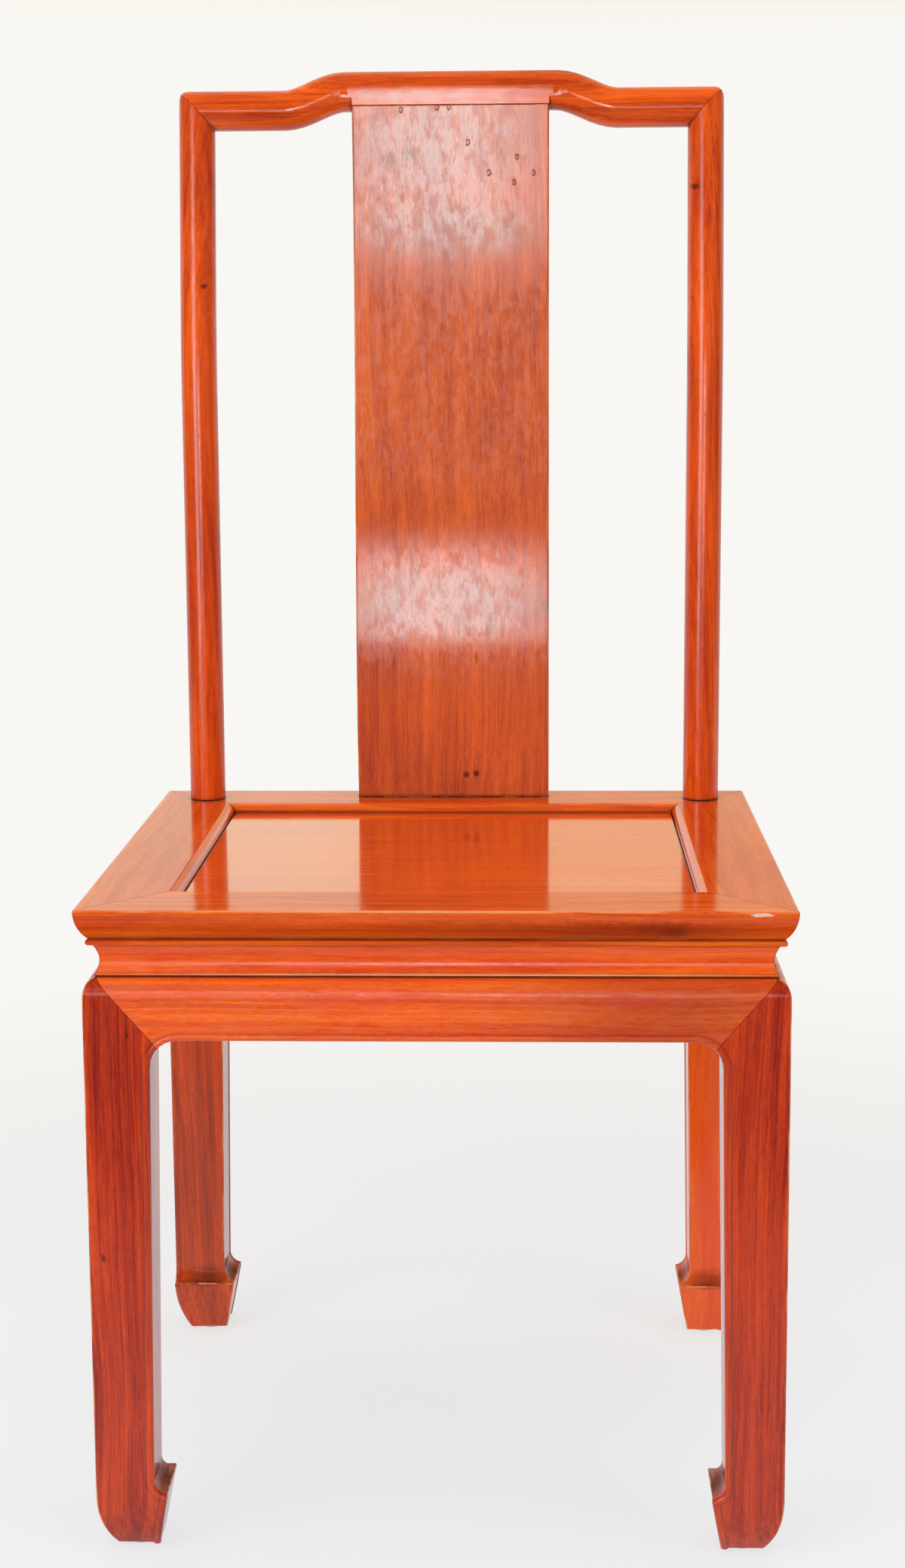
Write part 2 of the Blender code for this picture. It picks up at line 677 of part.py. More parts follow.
def leg_outline():
    """The sawn outline of a leg, the same from the front and from the side."""
    outer = []
    for step in range(CURVE_STEPS + 1):
        height = SOLE + HOOF_ROUND_HEIGHT * step / CURVE_STEPS
        outer.append((outer_face(height), height))
    stub_from = WAIST_BACK_INSET + JOINT_GAP
    stub_top = FRAME_BOTTOM - JOINT_GAP
    tenon_top = FRAME_BOTTOM + LEG_TENON_RISE
    top = [
        (stub_from, WAIST_BOTTOM),
        (stub_from, stub_top),
        (LEG_TENON_FROM, stub_top),
        (LEG_TENON_FROM, tenon_top),
        (LEG_TENON_TO, tenon_top),
        (LEG_TENON_TO, stub_top),
        (LEG_STUB_TO, stub_top),
        (LEG_STUB_TO, WAIST_BOTTOM),
    ]
    inner = toe_front()[:1] + toe_curve() + corner_arc(180, CORNER_MITRE)
    core = [(inner[-1][0], WAIST_BOTTOM)]
    return outer + shoulder_curve() + top + core + inner[::-1]


SWAP_FACES = Matrix(((0, 1, 0, 0), (1, 0, 0, 0), (0, 0, 1, 0), (0, 0, 0, 1)))


def face_bead(edge, start_reach, end_reach):
    """A raised bead just inside an edge of a leg's front face, run on or stopped short at its ends."""
    path = []
    for index, (inset, height) in enumerate(edge):
        before = Vector(edge[max(index - 1, 0)])
        after = Vector(edge[min(index + 1, len(edge) - 1)])
        along = (after - before).normalized()
        inset -= along.y * FACE_BEAD_FROM_EDGE
        height += along.x * FACE_BEAD_FROM_EDGE
        path.append(Vector((inset, outer_face(height) + FACE_BEAD_SINK, height)))
    path[0] += (path[0] - path[1]).normalized() * start_reach
    path[-1] += (path[-1] - path[-2]).normalized() * end_reach
    return tube([tuple(point) for point in path], FACE_BEAD_RADIUS, BEAD_RESOLUTION)


def leg_beads():
    """The bead from the apron down to the tip of the toe, and the one from there to the sole."""
    corner = corner_arc(180, CORNER_MITRE - FACE_BEAD_OVERRUN)
    upper = face_bead(toe_curve() + corner, TOE_BEAD_CUT, 0.0)
    lower = face_bead(toe_front(), 2 * FACE_BEAD_RADIUS, -FACE_BEAD_FROM_EDGE)
    return upper, lower


def apron_seat():
    """What a leg loses to the end of the front apron."""
    high_end, low_end = mitre_line(-HALF_GAP)
    far = CORNER_CENTRE + OVERSHOOT
    outline = [tuple(high_end), tuple(low_end), (far, low_end.y), (far, high_end.y)]
    return prism(outline, "Y", -OVERSHOOT, APRON_BACK_INSET + JOINT_GAP)


def leg():
    """One leg in its corner's frame: two sawn outlines, beads, apron seats, keys and a nail hole."""
    reach = CORNER_CENTRE + OVERSHOOT
    body = prism(leg_outline(), "Y", 0.0, reach)
    boolean(body, prism(leg_outline(), "X", 0.0, reach), "INTERSECT")
    join(body, *leg_beads(), *[transform(bead, SWAP_FACES) for bead in leg_beads()])
    cut(body, apron_seat(), transform(apron_seat(), SWAP_FACES))
    join(body, key_prism(0.0), transform(key_prism(0.0), SWAP_FACES))
    cut(body, box((-OVERSHOOT, -OVERSHOOT, -OVERSHOOT), (reach, reach, SOLE)))
    nail = Matrix.Translation((*glide_centre(), 0))
    cut(body, rod(GLIDE_NAIL_RADIUS + JOINT_GAP, -OVERSHOOT, SOLE + GLIDE_NAIL_LENGTH + JOINT_GAP, nail))
    return body


# Foot glides
def glide_centre():
    middle = (outer_face(SOLE) + ANKLE_INSET + TOE_SOLE_REACH) / 2
    return middle, middle


def foot_glide():
    """A turned nail-on glide, its rim rounded and its nail pointing up."""
    top = SOLE - JOINT_GAP
    nail_top = SOLE + GLIDE_NAIL_LENGTH
    profile = [
        (0.0, nail_top),
        (GLIDE_NAIL_RADIUS, nail_top - 2 * GLIDE_NAIL_RADIUS),
        (GLIDE_NAIL_RADIUS, top),
        (GLIDE_RADIUS - GLIDE_EDGE, top),
        (GLIDE_RADIUS, top - GLIDE_EDGE),
        (GLIDE_RADIUS, GLIDE_EDGE),
        (GLIDE_RADIUS - GLIDE_EDGE, 0.0),
        (0.0, 0.0),
    ]
    bm = bmesh.new()
    verts = [bm.verts.new((radius, 0.0, height)) for radius, height in profile]
    for first, second in zip(verts, verts[1:]):
        bm.edges.new((first, second))
    mesh = bpy.data.meshes.new("glide")
    bm.to_mesh(mesh)
    bm.free()
    glide = bpy.data.objects.new("glide", mesh)
    bpy.context.scene.collection.objects.link(glide)
    screw = glide.modifiers.new("turn", "SCREW")
    screw.steps = GLIDE_SIDES
    screw.render_steps = GLIDE_SIDES
    screw.use_merge_vertices = True
    screw.merge_threshold = MERGE_DISTANCE
    bake(glide)
    return transform(glide, Matrix.Translation((*glide_centre(), 0)))


# Back posts
def post_axis():
    """Side view of a post's axis, as set-back against height: straight, a gentle bend, straight."""
    lower = math.radians(POST_LOWER_LEAN)
    upper = math.radians(POST_UPPER_LEAN)
    points = [Vector((POST_FOOT, SEAT_TOP + JOINT_GAP))]
    points.append(points[0] + Vector((math.sin(lower), math.cos(lower))) * POST_LOWER_LENGTH)
    arc_step = POST_BEND_RADIUS * (upper - lower) / POST_BEND_STEPS
    for step in range(POST_BEND_STEPS):
        lean = lower + (upper - lower) * (step + 0.5) / POST_BEND_STEPS
        points.append(points[-1] + Vector((math.sin(lean), math.cos(lean))) * arc_step)
    rise = CREST_AXIS_HEIGHT - points[-1].y
    points.append(points[-1] + Vector((math.tan(upper) * rise, rise)))
    return points


def crest_place():
    """The crest rail's frame: its middle on the post axes, leaning back as they do."""
    top = post_axis()[-1]
    lean = Matrix.Rotation(math.radians(-POST_UPPER_LEAN), 4, "X")
    return Matrix.Translation((0, top.x, top.y)) @ lean


def mitre_plane(side_x, offset):
    """Point and normal of the mitre between a post and the crest rail, pointing to the crest."""
    place = crest_place()
    normal = Vector((-side_x * CREST_HALF_HEIGHT, 0, POST_RADIUS)).normalized()
    normal = (place.to_3x3() @ normal).normalized()
    return place @ Vector((side_x * POST_SPREAD, 0, 0)) + normal * offset, normal


def corner_waste(side_x):
    """What is rounded off the outer corner where a post meets the crest rail."""
    outer_x = POST_SPREAD + POST_RADIUS
    centre = (outer_x - CREST_CORNER_RADIUS, CREST_HALF_HEIGHT - CREST_CORNER_RADIUS)
    round_part = arc(centre, CREST_CORNER_RADIUS, 90, 0, CURVE_STEPS)
    far = [(outer_x + OVERSHOOT, centre[1]), (outer_x + OVERSHOOT, CREST_HALF_HEIGHT + OVERSHOOT)]
    outline = round_part + far + [(centre[0], CREST_HALF_HEIGHT + OVERSHOOT)]
    waste = prism(outline, "Y", -2 * POST_RADIUS, 2 * POST_RADIUS)
    return transform(waste, crest_place() @ Matrix.Diagonal((side_x, 1, 1, 1)))


def crest_pin(side_x, clearance):
    """The round pin of the mitre, up from the post into the crest rail."""
    place = crest_place() @ Matrix.Translation((side_x * POST_SPREAD, 0, 0))
    return rod(CREST_PIN_RADIUS + clearance, -CREST_HALF_HEIGHT, CREST_PIN_REACH + clearance, place)


def back_post(side_x):
    axis = post_axis()
    beyond = axis[-1] + (axis[-1] - axis[-2]).normalized() * (POST_RADIUS + CREST_HALF_HEIGHT)
    path = [(side_x * POST_SPREAD, point.x, point.y) for point in axis[:-1] + [beyond]]
    post = tube(path, POST_RADIUS, ROUND_SIDES // 2 - 2)
    floor = Vector((0, 0, SEAT_TOP + JOINT_GAP))
    slice_off(post, floor + Vector((0, 0, JOINT_GAP)), Vector((0, 0, -1)))
    point, normal = mitre_plane(side_x, -HALF_GAP)
    slice_off(post, point, normal)
    cut(post, corner_waste(side_x))
    foot = Matrix.Translation((side_x * POST_SPREAD, POST_FOOT, SEAT_TOP))
    join(post, rod(POST_TENON_RADIUS, -POST_TENON_LENGTH, POST_RADIUS, foot))
    join(post, crest_pin(side_x, 0.0))
    return post


# Crest rail
def crest_axis():
    """Front view of the crest rail's axis: level ends, an ogee up to the hump and down again."""
    half = [(POST_SPREAD + 2 * POST_RADIUS, 0.0)]
    for step in range(CREST_OGEE_STEPS + 1):
        share = step / CREST_OGEE_STEPS
        ease = share * share * (3 - 2 * share)
        half.append((CREST_OGEE_END + (CREST_HUMP_END - CREST_OGEE_END) * share, CREST_HUMP_RISE * ease))
    left = [(-x, z) for x, z in half]
    return left + half[::-1]


def crest_section():
    """An upright oval, as deep as the posts are thick."""
    outline = bpy.data.curves.new("oval", "CURVE")
    outline.dimensions = "2D"
    spline = outline.splines.new("POLY")
    spline.points.add(ROUND_SIDES - 1)
    for index, point in enumerate(spline.points):
        angle = 2 * math.pi * index / ROUND_SIDES
        point.co = (POST_RADIUS * math.cos(angle), CREST_HALF_HEIGHT * math.sin(angle), 0.0, 1.0)
    spline.use_cyclic_u = True
    oval = bpy.data.objects.new("oval", outline)
    bpy.context.scene.collection.objects.link(oval)
    return oval


def crest_bar():
    """The plain bent bar of the crest rail."""
    oval = crest_section()
    curve = bpy.data.curves.new("crest", "CURVE")
    curve.dimensions = "3D"
    curve.twist_mode = "Z_UP"
    curve.bevel_mode = "OBJECT"
    curve.bevel_object = oval
    curve.use_fill_caps = True
    bar = mesh_from_curve(curve, [(x, 0.0, z) for x, z in crest_axis()])
    bpy.data.objects.remove(oval, do_unlink=True)
    return transform(bar, crest_place())


def at_splat_end(tool):
    """Place a tool at the splat's upper joint, its X across, Y back from the front and Z along the splat."""
    points = splat_curve()
    along = (points[-1] - points[-2]).normalized()
    back = Vector((along.y, -along.x))
    front = points[-1] + along * SPLAT_JOINT_RISE - back * SPLAT_THICKNESS / 2
    place = Matrix((
        (1, 0, 0, 0),
        (0, back.x, along.x, front.x),
        (0, back.y, along.y, front.y),
        (0, 0, 0, 1),
    ))
    return transform(tool, place)


def crest_lip():
    """The lip that brings the crest rail's front down to its joint with the splat."""
    half = SPLAT_WIDTH / 2
    return at_splat_end(box((-half, -FACET_MARGIN, -JOINT_GAP), (half, LIP_DEPTH, LIP_RISE)))


def crest_facet():
    """The flat on the crest rail's front, flush with the splat and fading out past its edges."""
    half = SPLAT_WIDTH / 2 + FACET_MARGIN
    left = arc((-half, -FACET_END_RADIUS), FACET_END_RADIUS, 90 + FACET_END_SWEEP, 90, FACET_END_STEPS)
    right = [(-x, y) for x, y in left[::-1]]
    outline = left + right + [(right[-1][0], -OVERSHOOT), (left[0][0], -OVERSHOOT)]
    return at_splat_end(prism(outline, "Z", -CREST_HALF_HEIGHT, 2 * CREST_HALF_HEIGHT))


def splat_rebate():
    """What the crest rail loses to the end of the splat."""
    half = SPLAT_WIDTH / 2 + JOINT_GAP
    return at_splat_end(box((-half, -OVERSHOOT, -OVERSHOOT), (half, SPLAT_THICKNESS + JOINT_GAP, HALF_GAP)))


def splat_crest_tenon(clearance):
    half_width = SPLAT_TENON_WIDTH / 2 + clearance
    half_depth = SPLAT_TENON_THICKNESS / 2 + clearance
    top = splat_curve()[-1]
    low = (-half_width, top.x - half_depth, top.y - CREST_HALF_HEIGHT)
    return box(low, (half_width, top.x + half_depth, top.y + SPLAT_TENON_INTO_CREST + clearance))


def crest_rail():
    rail = crest_bar()
    for side_x in (-1, 1):
        point, normal = mitre_plane(side_x, HALF_GAP)
        slice_off(rail, point, -normal)
        cut(rail, corner_waste(side_x), crest_pin(side_x, JOINT_GAP))
    join(rail, crest_lip())
    cut(rail, crest_facet(), splat_rebate(), splat_crest_tenon(JOINT_GAP))
    return rail


def hindmost():
    """How far behind the seat's middle the back of the crest rail's hump stands."""
    lean = math.radians(POST_UPPER_LEAN)
    section = math.hypot(POST_RADIUS * math.cos(lean), CREST_HALF_HEIGHT * math.sin(lean))
    return post_axis()[-1].x + CREST_HUMP_RISE * math.sin(lean) + section


# Splat
def splat_curve():
    """Side view of the splat's middle, as set-back against height: a belly below, a hollow above."""
    foot = Vector((SPLAT_FOOT, SEAT_TOP))
    hump_underside = CREST_AXIS_RISE + CREST_HUMP_RISE - CREST_HALF_HEIGHT
    handles = [
        foot,
        foot + Vector((-SPLAT_BELLY, SPLAT_BELLY_HEIGHT)),
        foot + Vector((SPLAT_HOLLOW, SPLAT_HOLLOW_HEIGHT)),
        foot + Vector((SPLAT_TOP_BEHIND_BASE, hump_underside)),
    ]
    points = []
    for step in range(SPLAT_STEPS + 1):
        t = step / SPLAT_STEPS
        weights = ((1 - t) ** 3, 3 * (1 - t) ** 2 * t, 3 * (1 - t) * t ** 2, t ** 3)
        point = Vector((0.0, 0.0))
        for weight, handle in zip(weights, handles):
            point += handle * weight
        points.append(point)
    return points


def back_splat():
    middle = splat_curve()
    middle.append(middle[-1] + (middle[-1] - middle[-2]).normalized() * SPLAT_THICKNESS)
    front = []
    back = []
    for index, point in enumerate(middle):
        along = (middle[min(index + 1, len(middle) - 1)] - middle[max(index - 1, 0)]).normalized()
        across = Vector((along.y, -along.x)) * SPLAT_THICKNESS / 2
        front.append(tuple(point - across))
        back.append(tuple(point + across))
    board = prism(front + back[::-1], "X", -SPLAT_WIDTH / 2, SPLAT_WIDTH / 2)
    rounding = board.modifiers.new("edges", "BEVEL")
    rounding.width = SPLAT_EDGE_ROUND
    rounding.segments = 2
    rounding.limit_method = "ANGLE"
    rounding.angle_limit = math.radians(ROUND_ABOVE)
    bake(board)
    slice_off(board, Vector((0, 0, SEAT_TOP + SPLAT_EDGE_ROUND)), Vector((0, 0, -1)))
    transform(board, Matrix.Translation((0, 0, JOINT_GAP - SPLAT_EDGE_ROUND)))
    beyond_joint = box((-SPLAT_WIDTH, -OVERSHOOT, -HALF_GAP), (SPLAT_WIDTH, OVERSHOOT, OVERSHOOT))
    cut(board, at_splat_end(beyond_joint))
    join(board, splat_foot_tenon(0.0, SEAT_TOP + SPLAT_THICKNESS), splat_crest_tenon(0.0))
    return board


# Assembly
def add_part(obj, name, collection, root, colour, roughness):
    """Name a finished piece, give it its own wood and hang it on the chair."""
    clean(obj)
    obj.name = name
    obj.data.name = name
    for holder in list(obj.users_collection):
        holder.objects.unlink(obj)
    collection.objects.link(obj)
    obj.parent = root
    obj.data.materials.clear()
    obj.data.materials.append(wood_material(name, colour, roughness))
    obj.data.shade_smooth()
    obj.data.set_sharp_from_angle(angle=math.radians(SMOOTH_BELOW))
    return obj


def copy_at_corner(source, corner):
    copy = bpy.data.objects.new(corner, source.data.copy())
    bpy.context.scene.collection.objects.link(copy)
    copy.matrix_local = corner_place(corner)
    return copy


def build_chair():
    clear_scene()
    collection = link_new_collection("ming_side_chair")
    root = bpy.data.objects.new("chair", None)
    collection.objects.link(root)
    root.location.y = (SEAT_DEPTH / 2 - hindmost()) / 2

    def add(obj, name, colour, roughness=LACQUER_ROUGHNESS):
        add_part(obj, name, collection, root, colour, roughness)

    for side in SIDES:
        add(seat_rail(side), f"seat_{side}_rail", ROSEWOOD_SEAT)
        add(waist_strip(side), f"waist_{side}", ROSEWOOD_APRON)
        add(apron(side), f"apron_{side}", ROSEWOOD_APRON)
    add(seat_panel(), "seat_panel", ROSEWOOD_SEAT)
    for hand, side_x in HANDS.items():
        add(seat_batten(side_x), f"seat_batten_{hand}", INNER_WOOD, BARE_WOOD_ROUGHNESS)
        add(back_post(side_x), f"{hand}_back_post", ROSEWOOD_BACK)
    add(crest_rail(), "crest_rail", ROSEWOOD_BACK)
    add(back_splat(), "back_splat", ROSEWOOD_BACK)
    first_leg = leg()
    first_glide = foot_glide()
    for corner in CORNERS:
        add(copy_at_corner(first_leg, corner), f"leg_{corner}", ROSEWOOD_LEG)
        add(copy_at_corner(first_glide, corner), f"foot_glide_{corner}", GLIDE_WHITE, GLIDE_ROUGHNESS)
    for source in (first_leg, first_glide):
        bpy.data.objects.remove(source, do_unlink=True)


build_chair()
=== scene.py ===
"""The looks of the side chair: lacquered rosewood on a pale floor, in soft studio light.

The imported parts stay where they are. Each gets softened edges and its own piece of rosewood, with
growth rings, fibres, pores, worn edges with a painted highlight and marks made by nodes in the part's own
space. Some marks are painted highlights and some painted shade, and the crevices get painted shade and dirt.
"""
import json
import math
from dataclasses import dataclass, field

import bpy
from mathutils import Euler, Matrix, Vector

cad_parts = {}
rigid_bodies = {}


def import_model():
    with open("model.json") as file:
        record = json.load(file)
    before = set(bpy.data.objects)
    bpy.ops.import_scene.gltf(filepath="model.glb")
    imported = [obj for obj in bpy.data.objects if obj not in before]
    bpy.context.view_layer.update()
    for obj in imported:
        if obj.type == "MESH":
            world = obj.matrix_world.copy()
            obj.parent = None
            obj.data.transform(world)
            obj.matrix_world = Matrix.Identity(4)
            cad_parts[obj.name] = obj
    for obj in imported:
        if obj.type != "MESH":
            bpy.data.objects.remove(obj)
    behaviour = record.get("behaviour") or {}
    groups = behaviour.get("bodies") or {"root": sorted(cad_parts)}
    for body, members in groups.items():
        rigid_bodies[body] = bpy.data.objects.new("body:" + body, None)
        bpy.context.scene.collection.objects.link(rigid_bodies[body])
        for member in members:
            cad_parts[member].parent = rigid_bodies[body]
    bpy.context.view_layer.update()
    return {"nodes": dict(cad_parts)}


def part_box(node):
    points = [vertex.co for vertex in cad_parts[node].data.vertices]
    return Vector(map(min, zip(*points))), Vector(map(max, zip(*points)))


# The photograph's camera, in metres, degrees and pixels
CAMERA_PLACE = (0.0666, -1.8191, 0.8617)
CAMERA_TURN_LEFT = 1.93
CAMERA_TILT_DOWN = 10.44
CAMERA_ROLL = -0.36
LEVEL_TILT = 90
PHOTO_FOCAL_LENGTH = 3149
PHOTO_HEIGHT = 2079
SENSOR_LONG_SIDE = 36.0

# Numbered sockets of a colour mix, because its names are shared with those for numbers and vectors
MIX_FACTOR = 0
MIX_FIRST = 6
MIX_SECOND = 7
MIX_RESULT = 2

# Edges and shading, in metres and degrees
WELD_WITHIN = 0.00001
FLAT_WITHIN = 0.2
SOFTEN_ABOVE = 40
SOFTEN_LONGER_THAN = 0.006
SQUARE_WITHIN = 0.985
CORNER_WITHIN = 0.0004
SHARP_ABOVE = 38
CREASE_ABOVE = 20
BEVEL_SEGMENTS = 3
WORN_AND_PAINTED_GLINT_SLOT = 1
EDGE_RADIUS = {"leg": 0.0011, "apron": 0.0007, "seat": 0.0007, "back": 0.0006, "hidden": 0.0006}

# Lacquer and the wood under it. Only the polished seat panel has a sheen below its lacquer.
LACQUER_IOR = 1.5
POLISHED_IOR = 1.7
WOOD_ROUGHNESS = 0.45
WOOD_SHEEN = 0.0
POLISHED_ROUGHNESS = 0.06
POLISHED_SHEEN = 0.2
POLISHED_TINT = (1.0, 0.84, 0.46, 1.0)
BUMP_UNIT = 0.001
FLECK_RELIEF = 0.004

# Noise in the wood: waves in a metre across and along the grain, detail and roughness
WOOD_NOISE = {
    "bend": ((9, 9, 2.2), 2.0, 0.5),
    "streak": ((150, 150, 5), 3.0, 0.6),
    "fibre": ((720, 720, 24), 3.0, 0.6),
    "fleck": ((850, 850, 120), 3.0, 0.65),
    "pore": ((1500, 1500, 170), 1.0, 0.5),
    "cloud": ((16, 16, 6), 3.0, 0.5),
    "smudge": ((130, 130, 70), 5.0, 0.7),
    "ripple": ((34, 34, 9), 1.0, 0.5),
    "wear_and_painted_glint": ((90, 90, 22), 4.0, 0.5),
}
NOISE_MIDDLE = 0.5
BEND_REACH = (0.030, 0.030, 0.0)
ACROSS_GRAIN = (1, 1, 0)

# Growth rings, as noise along the radius: waves in a metre, a shift along the noise, and detail
BROAD_RINGS = (85, 3.7, 3.0)
FINE_RINGS = (520, 11.3, 2.0)
VEIN_RINGS = (210, 29.1, 1.0)
BROAD_SHARE = 0.60
FINE_SHARE = 0.40

# The useful part of each noise
RING_SPAN = (0.30, 0.70)
STREAK_SPAN = (0.30, 0.70)
FIBRE_SPAN = (0.25, 0.75)
FLECK_SPAN = (0.32, 0.68)
PORE_SPAN = (0.58, 0.70)
CLOUD_SPAN = (0.30, 0.70)
SMUDGE_SPAN = (0.42, 0.62)
VEIN_SPAN = (0.030, 0.004)
VEIN_CLOUD_SPAN = (0.40, 0.62)
WEAR_AND_PAINTED_GLINT_SPAN = (0.42, 0.62)
WEAR_AND_PAINTED_GLINT_SHARE = (0.05, 0.75)

# How much each layer tells in the wood's tone, in the lacquer's haze, and in the relief in millimetres
FIBRE_TONE = 0.28
FLECK_TONE = 0.20
CLOUD_TONE = 0.40
VEIN_TONE = 0.45
PORE_TONE = 0.22
PLAIN_HAZE = 0.60
FLECK_HAZE = 0.5
PORE_HAZE = 0.4
PORE_RELIEF = -0.020
FIBRE_RELIEF = 0.015

# Turns that bring a piece's grain to Z
GRAIN = {
    "X": (0.0, math.radians(-90), 0.0),
    "Y": (math.radians(90), 0.0, 0.0),
    "Z": (0.0, 0.0, 0.0),
}

# Linear colours of the wood's light, dark and vein tones
TONES = {
    "leg": ((0.72, 0.068, 0.011), (0.28, 0.015, 0.009), (0.14, 0.010, 0.008)),
    "rear_left_leg": ((0.74, 0.080, 0.005), (0.32, 0.028, 0.004), (0.16, 0.015, 0.004)),
    # The rear right leg is lighter than the other legs, where more light falls on it: painted light
    "rear_right_leg": ((1.00, 0.165, 0.012), (0.86, 0.082, 0.008), (0.36, 0.032, 0.007)),
    "apron": ((1.00, 0.160, 0.008), (0.72, 0.046, 0.004), (0.34, 0.018, 0.004)),
    "rail": ((1.00, 0.165, 0.010), (0.60, 0.050, 0.007), (0.28, 0.020, 0.006)),
    "panel": ((1.00, 0.145, 0.006), (0.72, 0.060, 0.005), (0.36, 0.026, 0.005)),
    "splat": ((0.76, 0.150, 0.034), (0.40, 0.062, 0.030), (0.20, 0.028, 0.018)),
    "post": ((0.90, 0.115, 0.006), (0.48, 0.038, 0.005), (0.22, 0.016, 0.005)),
    "crest": ((0.92, 0.128, 0.009), (0.42, 0.036, 0.007), (0.18, 0.015, 0.006)),
    "hidden": ((0.46, 0.170, 0.065), (0.30, 0.090, 0.035), (0.16, 0.045, 0.020)),
}
# The lighter tone of the bevelled edges: wear, and a painted highlight on the arrises
WORN_AND_PAINTED_GLINT_TONE = (0.90, 0.34, 0.14, 1.0)

# Darker in the crevices, by how much of the space close by is open: painted shade, and dirt
CREVICE_PAINTED_SHADE_AND_DIRT_TONE = (0.140, 0.026, 0.013, 1.0)
CREVICE_PAINTED_SHADE_AND_DIRT_REACH = 0.003
CREVICE_PAINTED_SHADE_AND_DIRT_SPAN = (0.985, 0.78)
CREVICE_PAINTED_SHADE_AND_DIRT_SHARE = 0.72
CREVICE_PAINTED_SHADE_AND_DIRT_SAMPLES = 8

# Off-white plastic of the glides
GLIDE_CLEAN = (0.80, 0.79, 0.75, 1.0)
GLIDE_SOILED = (0.55, 0.52, 0.46, 1.0)
GLIDE_SOIL_NOISE = ((160, 160, 160), 3.0, 0.5)
GLIDE_SOIL_SPAN = (0.40, 0.70)
GLIDE_SOIL_SHARE = 0.6
GLIDE_SCUFF_NOISE = ((900, 900, 300), 2.0, 0.5)
GLIDE_SCUFF_SPAN = (0.3, 0.7)
GLIDE_ROUGHNESS = (0.38, 0.60)
GLIDE_SCUFF_RELIEF = 0.04


@dataclass
class MarkKind:
    """A mark on a part: its colour and how much of it shows, its relief in millimetres, and its rim.

    The rim is 1 for a sharp edge and 0 for one that is soft all the way in. A dull mark takes the
    lacquer's gloss, and a patchy one is a painted highlight that lies on front faces only, broken up by
    flecks and smudges.
    """
    colour: tuple = None
    share: float = 0.0
    relief: float = 0.0
    rim: float = 0.0
    ragged: float = 1.0
    dull: bool = False
    patchy_painted_glare: bool = False


MARKS = {
    "knot": MarkKind((0.080, 0.014, 0.009), share=0.80, relief=-0.05, rim=0.35),
    "drop": MarkKind((0.220, 0.020, 0.010), share=0.92, relief=0.20, rim=0.50, ragged=0.8),
    "stain": MarkKind((0.120, 0.018, 0.008), share=0.50, rim=0.20, ragged=1.5),
    # Darker over a broad area: painted shade
    "shade": MarkKind((0.250, 0.024, 0.007), share=0.50),
    # Dark and matt in a hollow: painted shade, and dirt
    "painted_shade_and_dirt": MarkKind((0.090, 0.034, 0.024), share=0.88, rim=0.45, dull=True),
    # A pale line on a bead or an arris: wear, and a painted highlight
    "rub_and_painted_glint": MarkKind((0.880, 0.520, 0.260), share=0.70, rim=0.30, ragged=0.2),
    # Pale patches on front faces: a painted highlight for the window glare, and some bloom in the lacquer
    "bloom_and_painted_glare": MarkKind((0.310, 0.215, 0.192), share=0.68, rim=0.35, ragged=3.0, patchy_painted_glare=True),
    "dull": MarkKind(rim=0.70, dull=True),
    "faded": MarkKind(dull=True),
    "chip": MarkKind((0.850, 0.600, 0.480), share=0.90, relief=-0.10, rim=0.70),
}

# The ragged outline of marks, in metres, and what thins the patchy painted highlight: a span and what it
# becomes
RAGGED_REACH = 0.003
RAGGED_NOISE = ((260, 260, 260), 2.0, 0.5)
PAINTED_GLARE_FLECKS = (0.1, 0.9, 0.5, 1.0)
PAINTED_GLARE_SMUDGES = (1.0, 0.0, 0.6, 1.0)
PAINTED_GLARE_FRONT_SPAN = (0.0, -0.5)
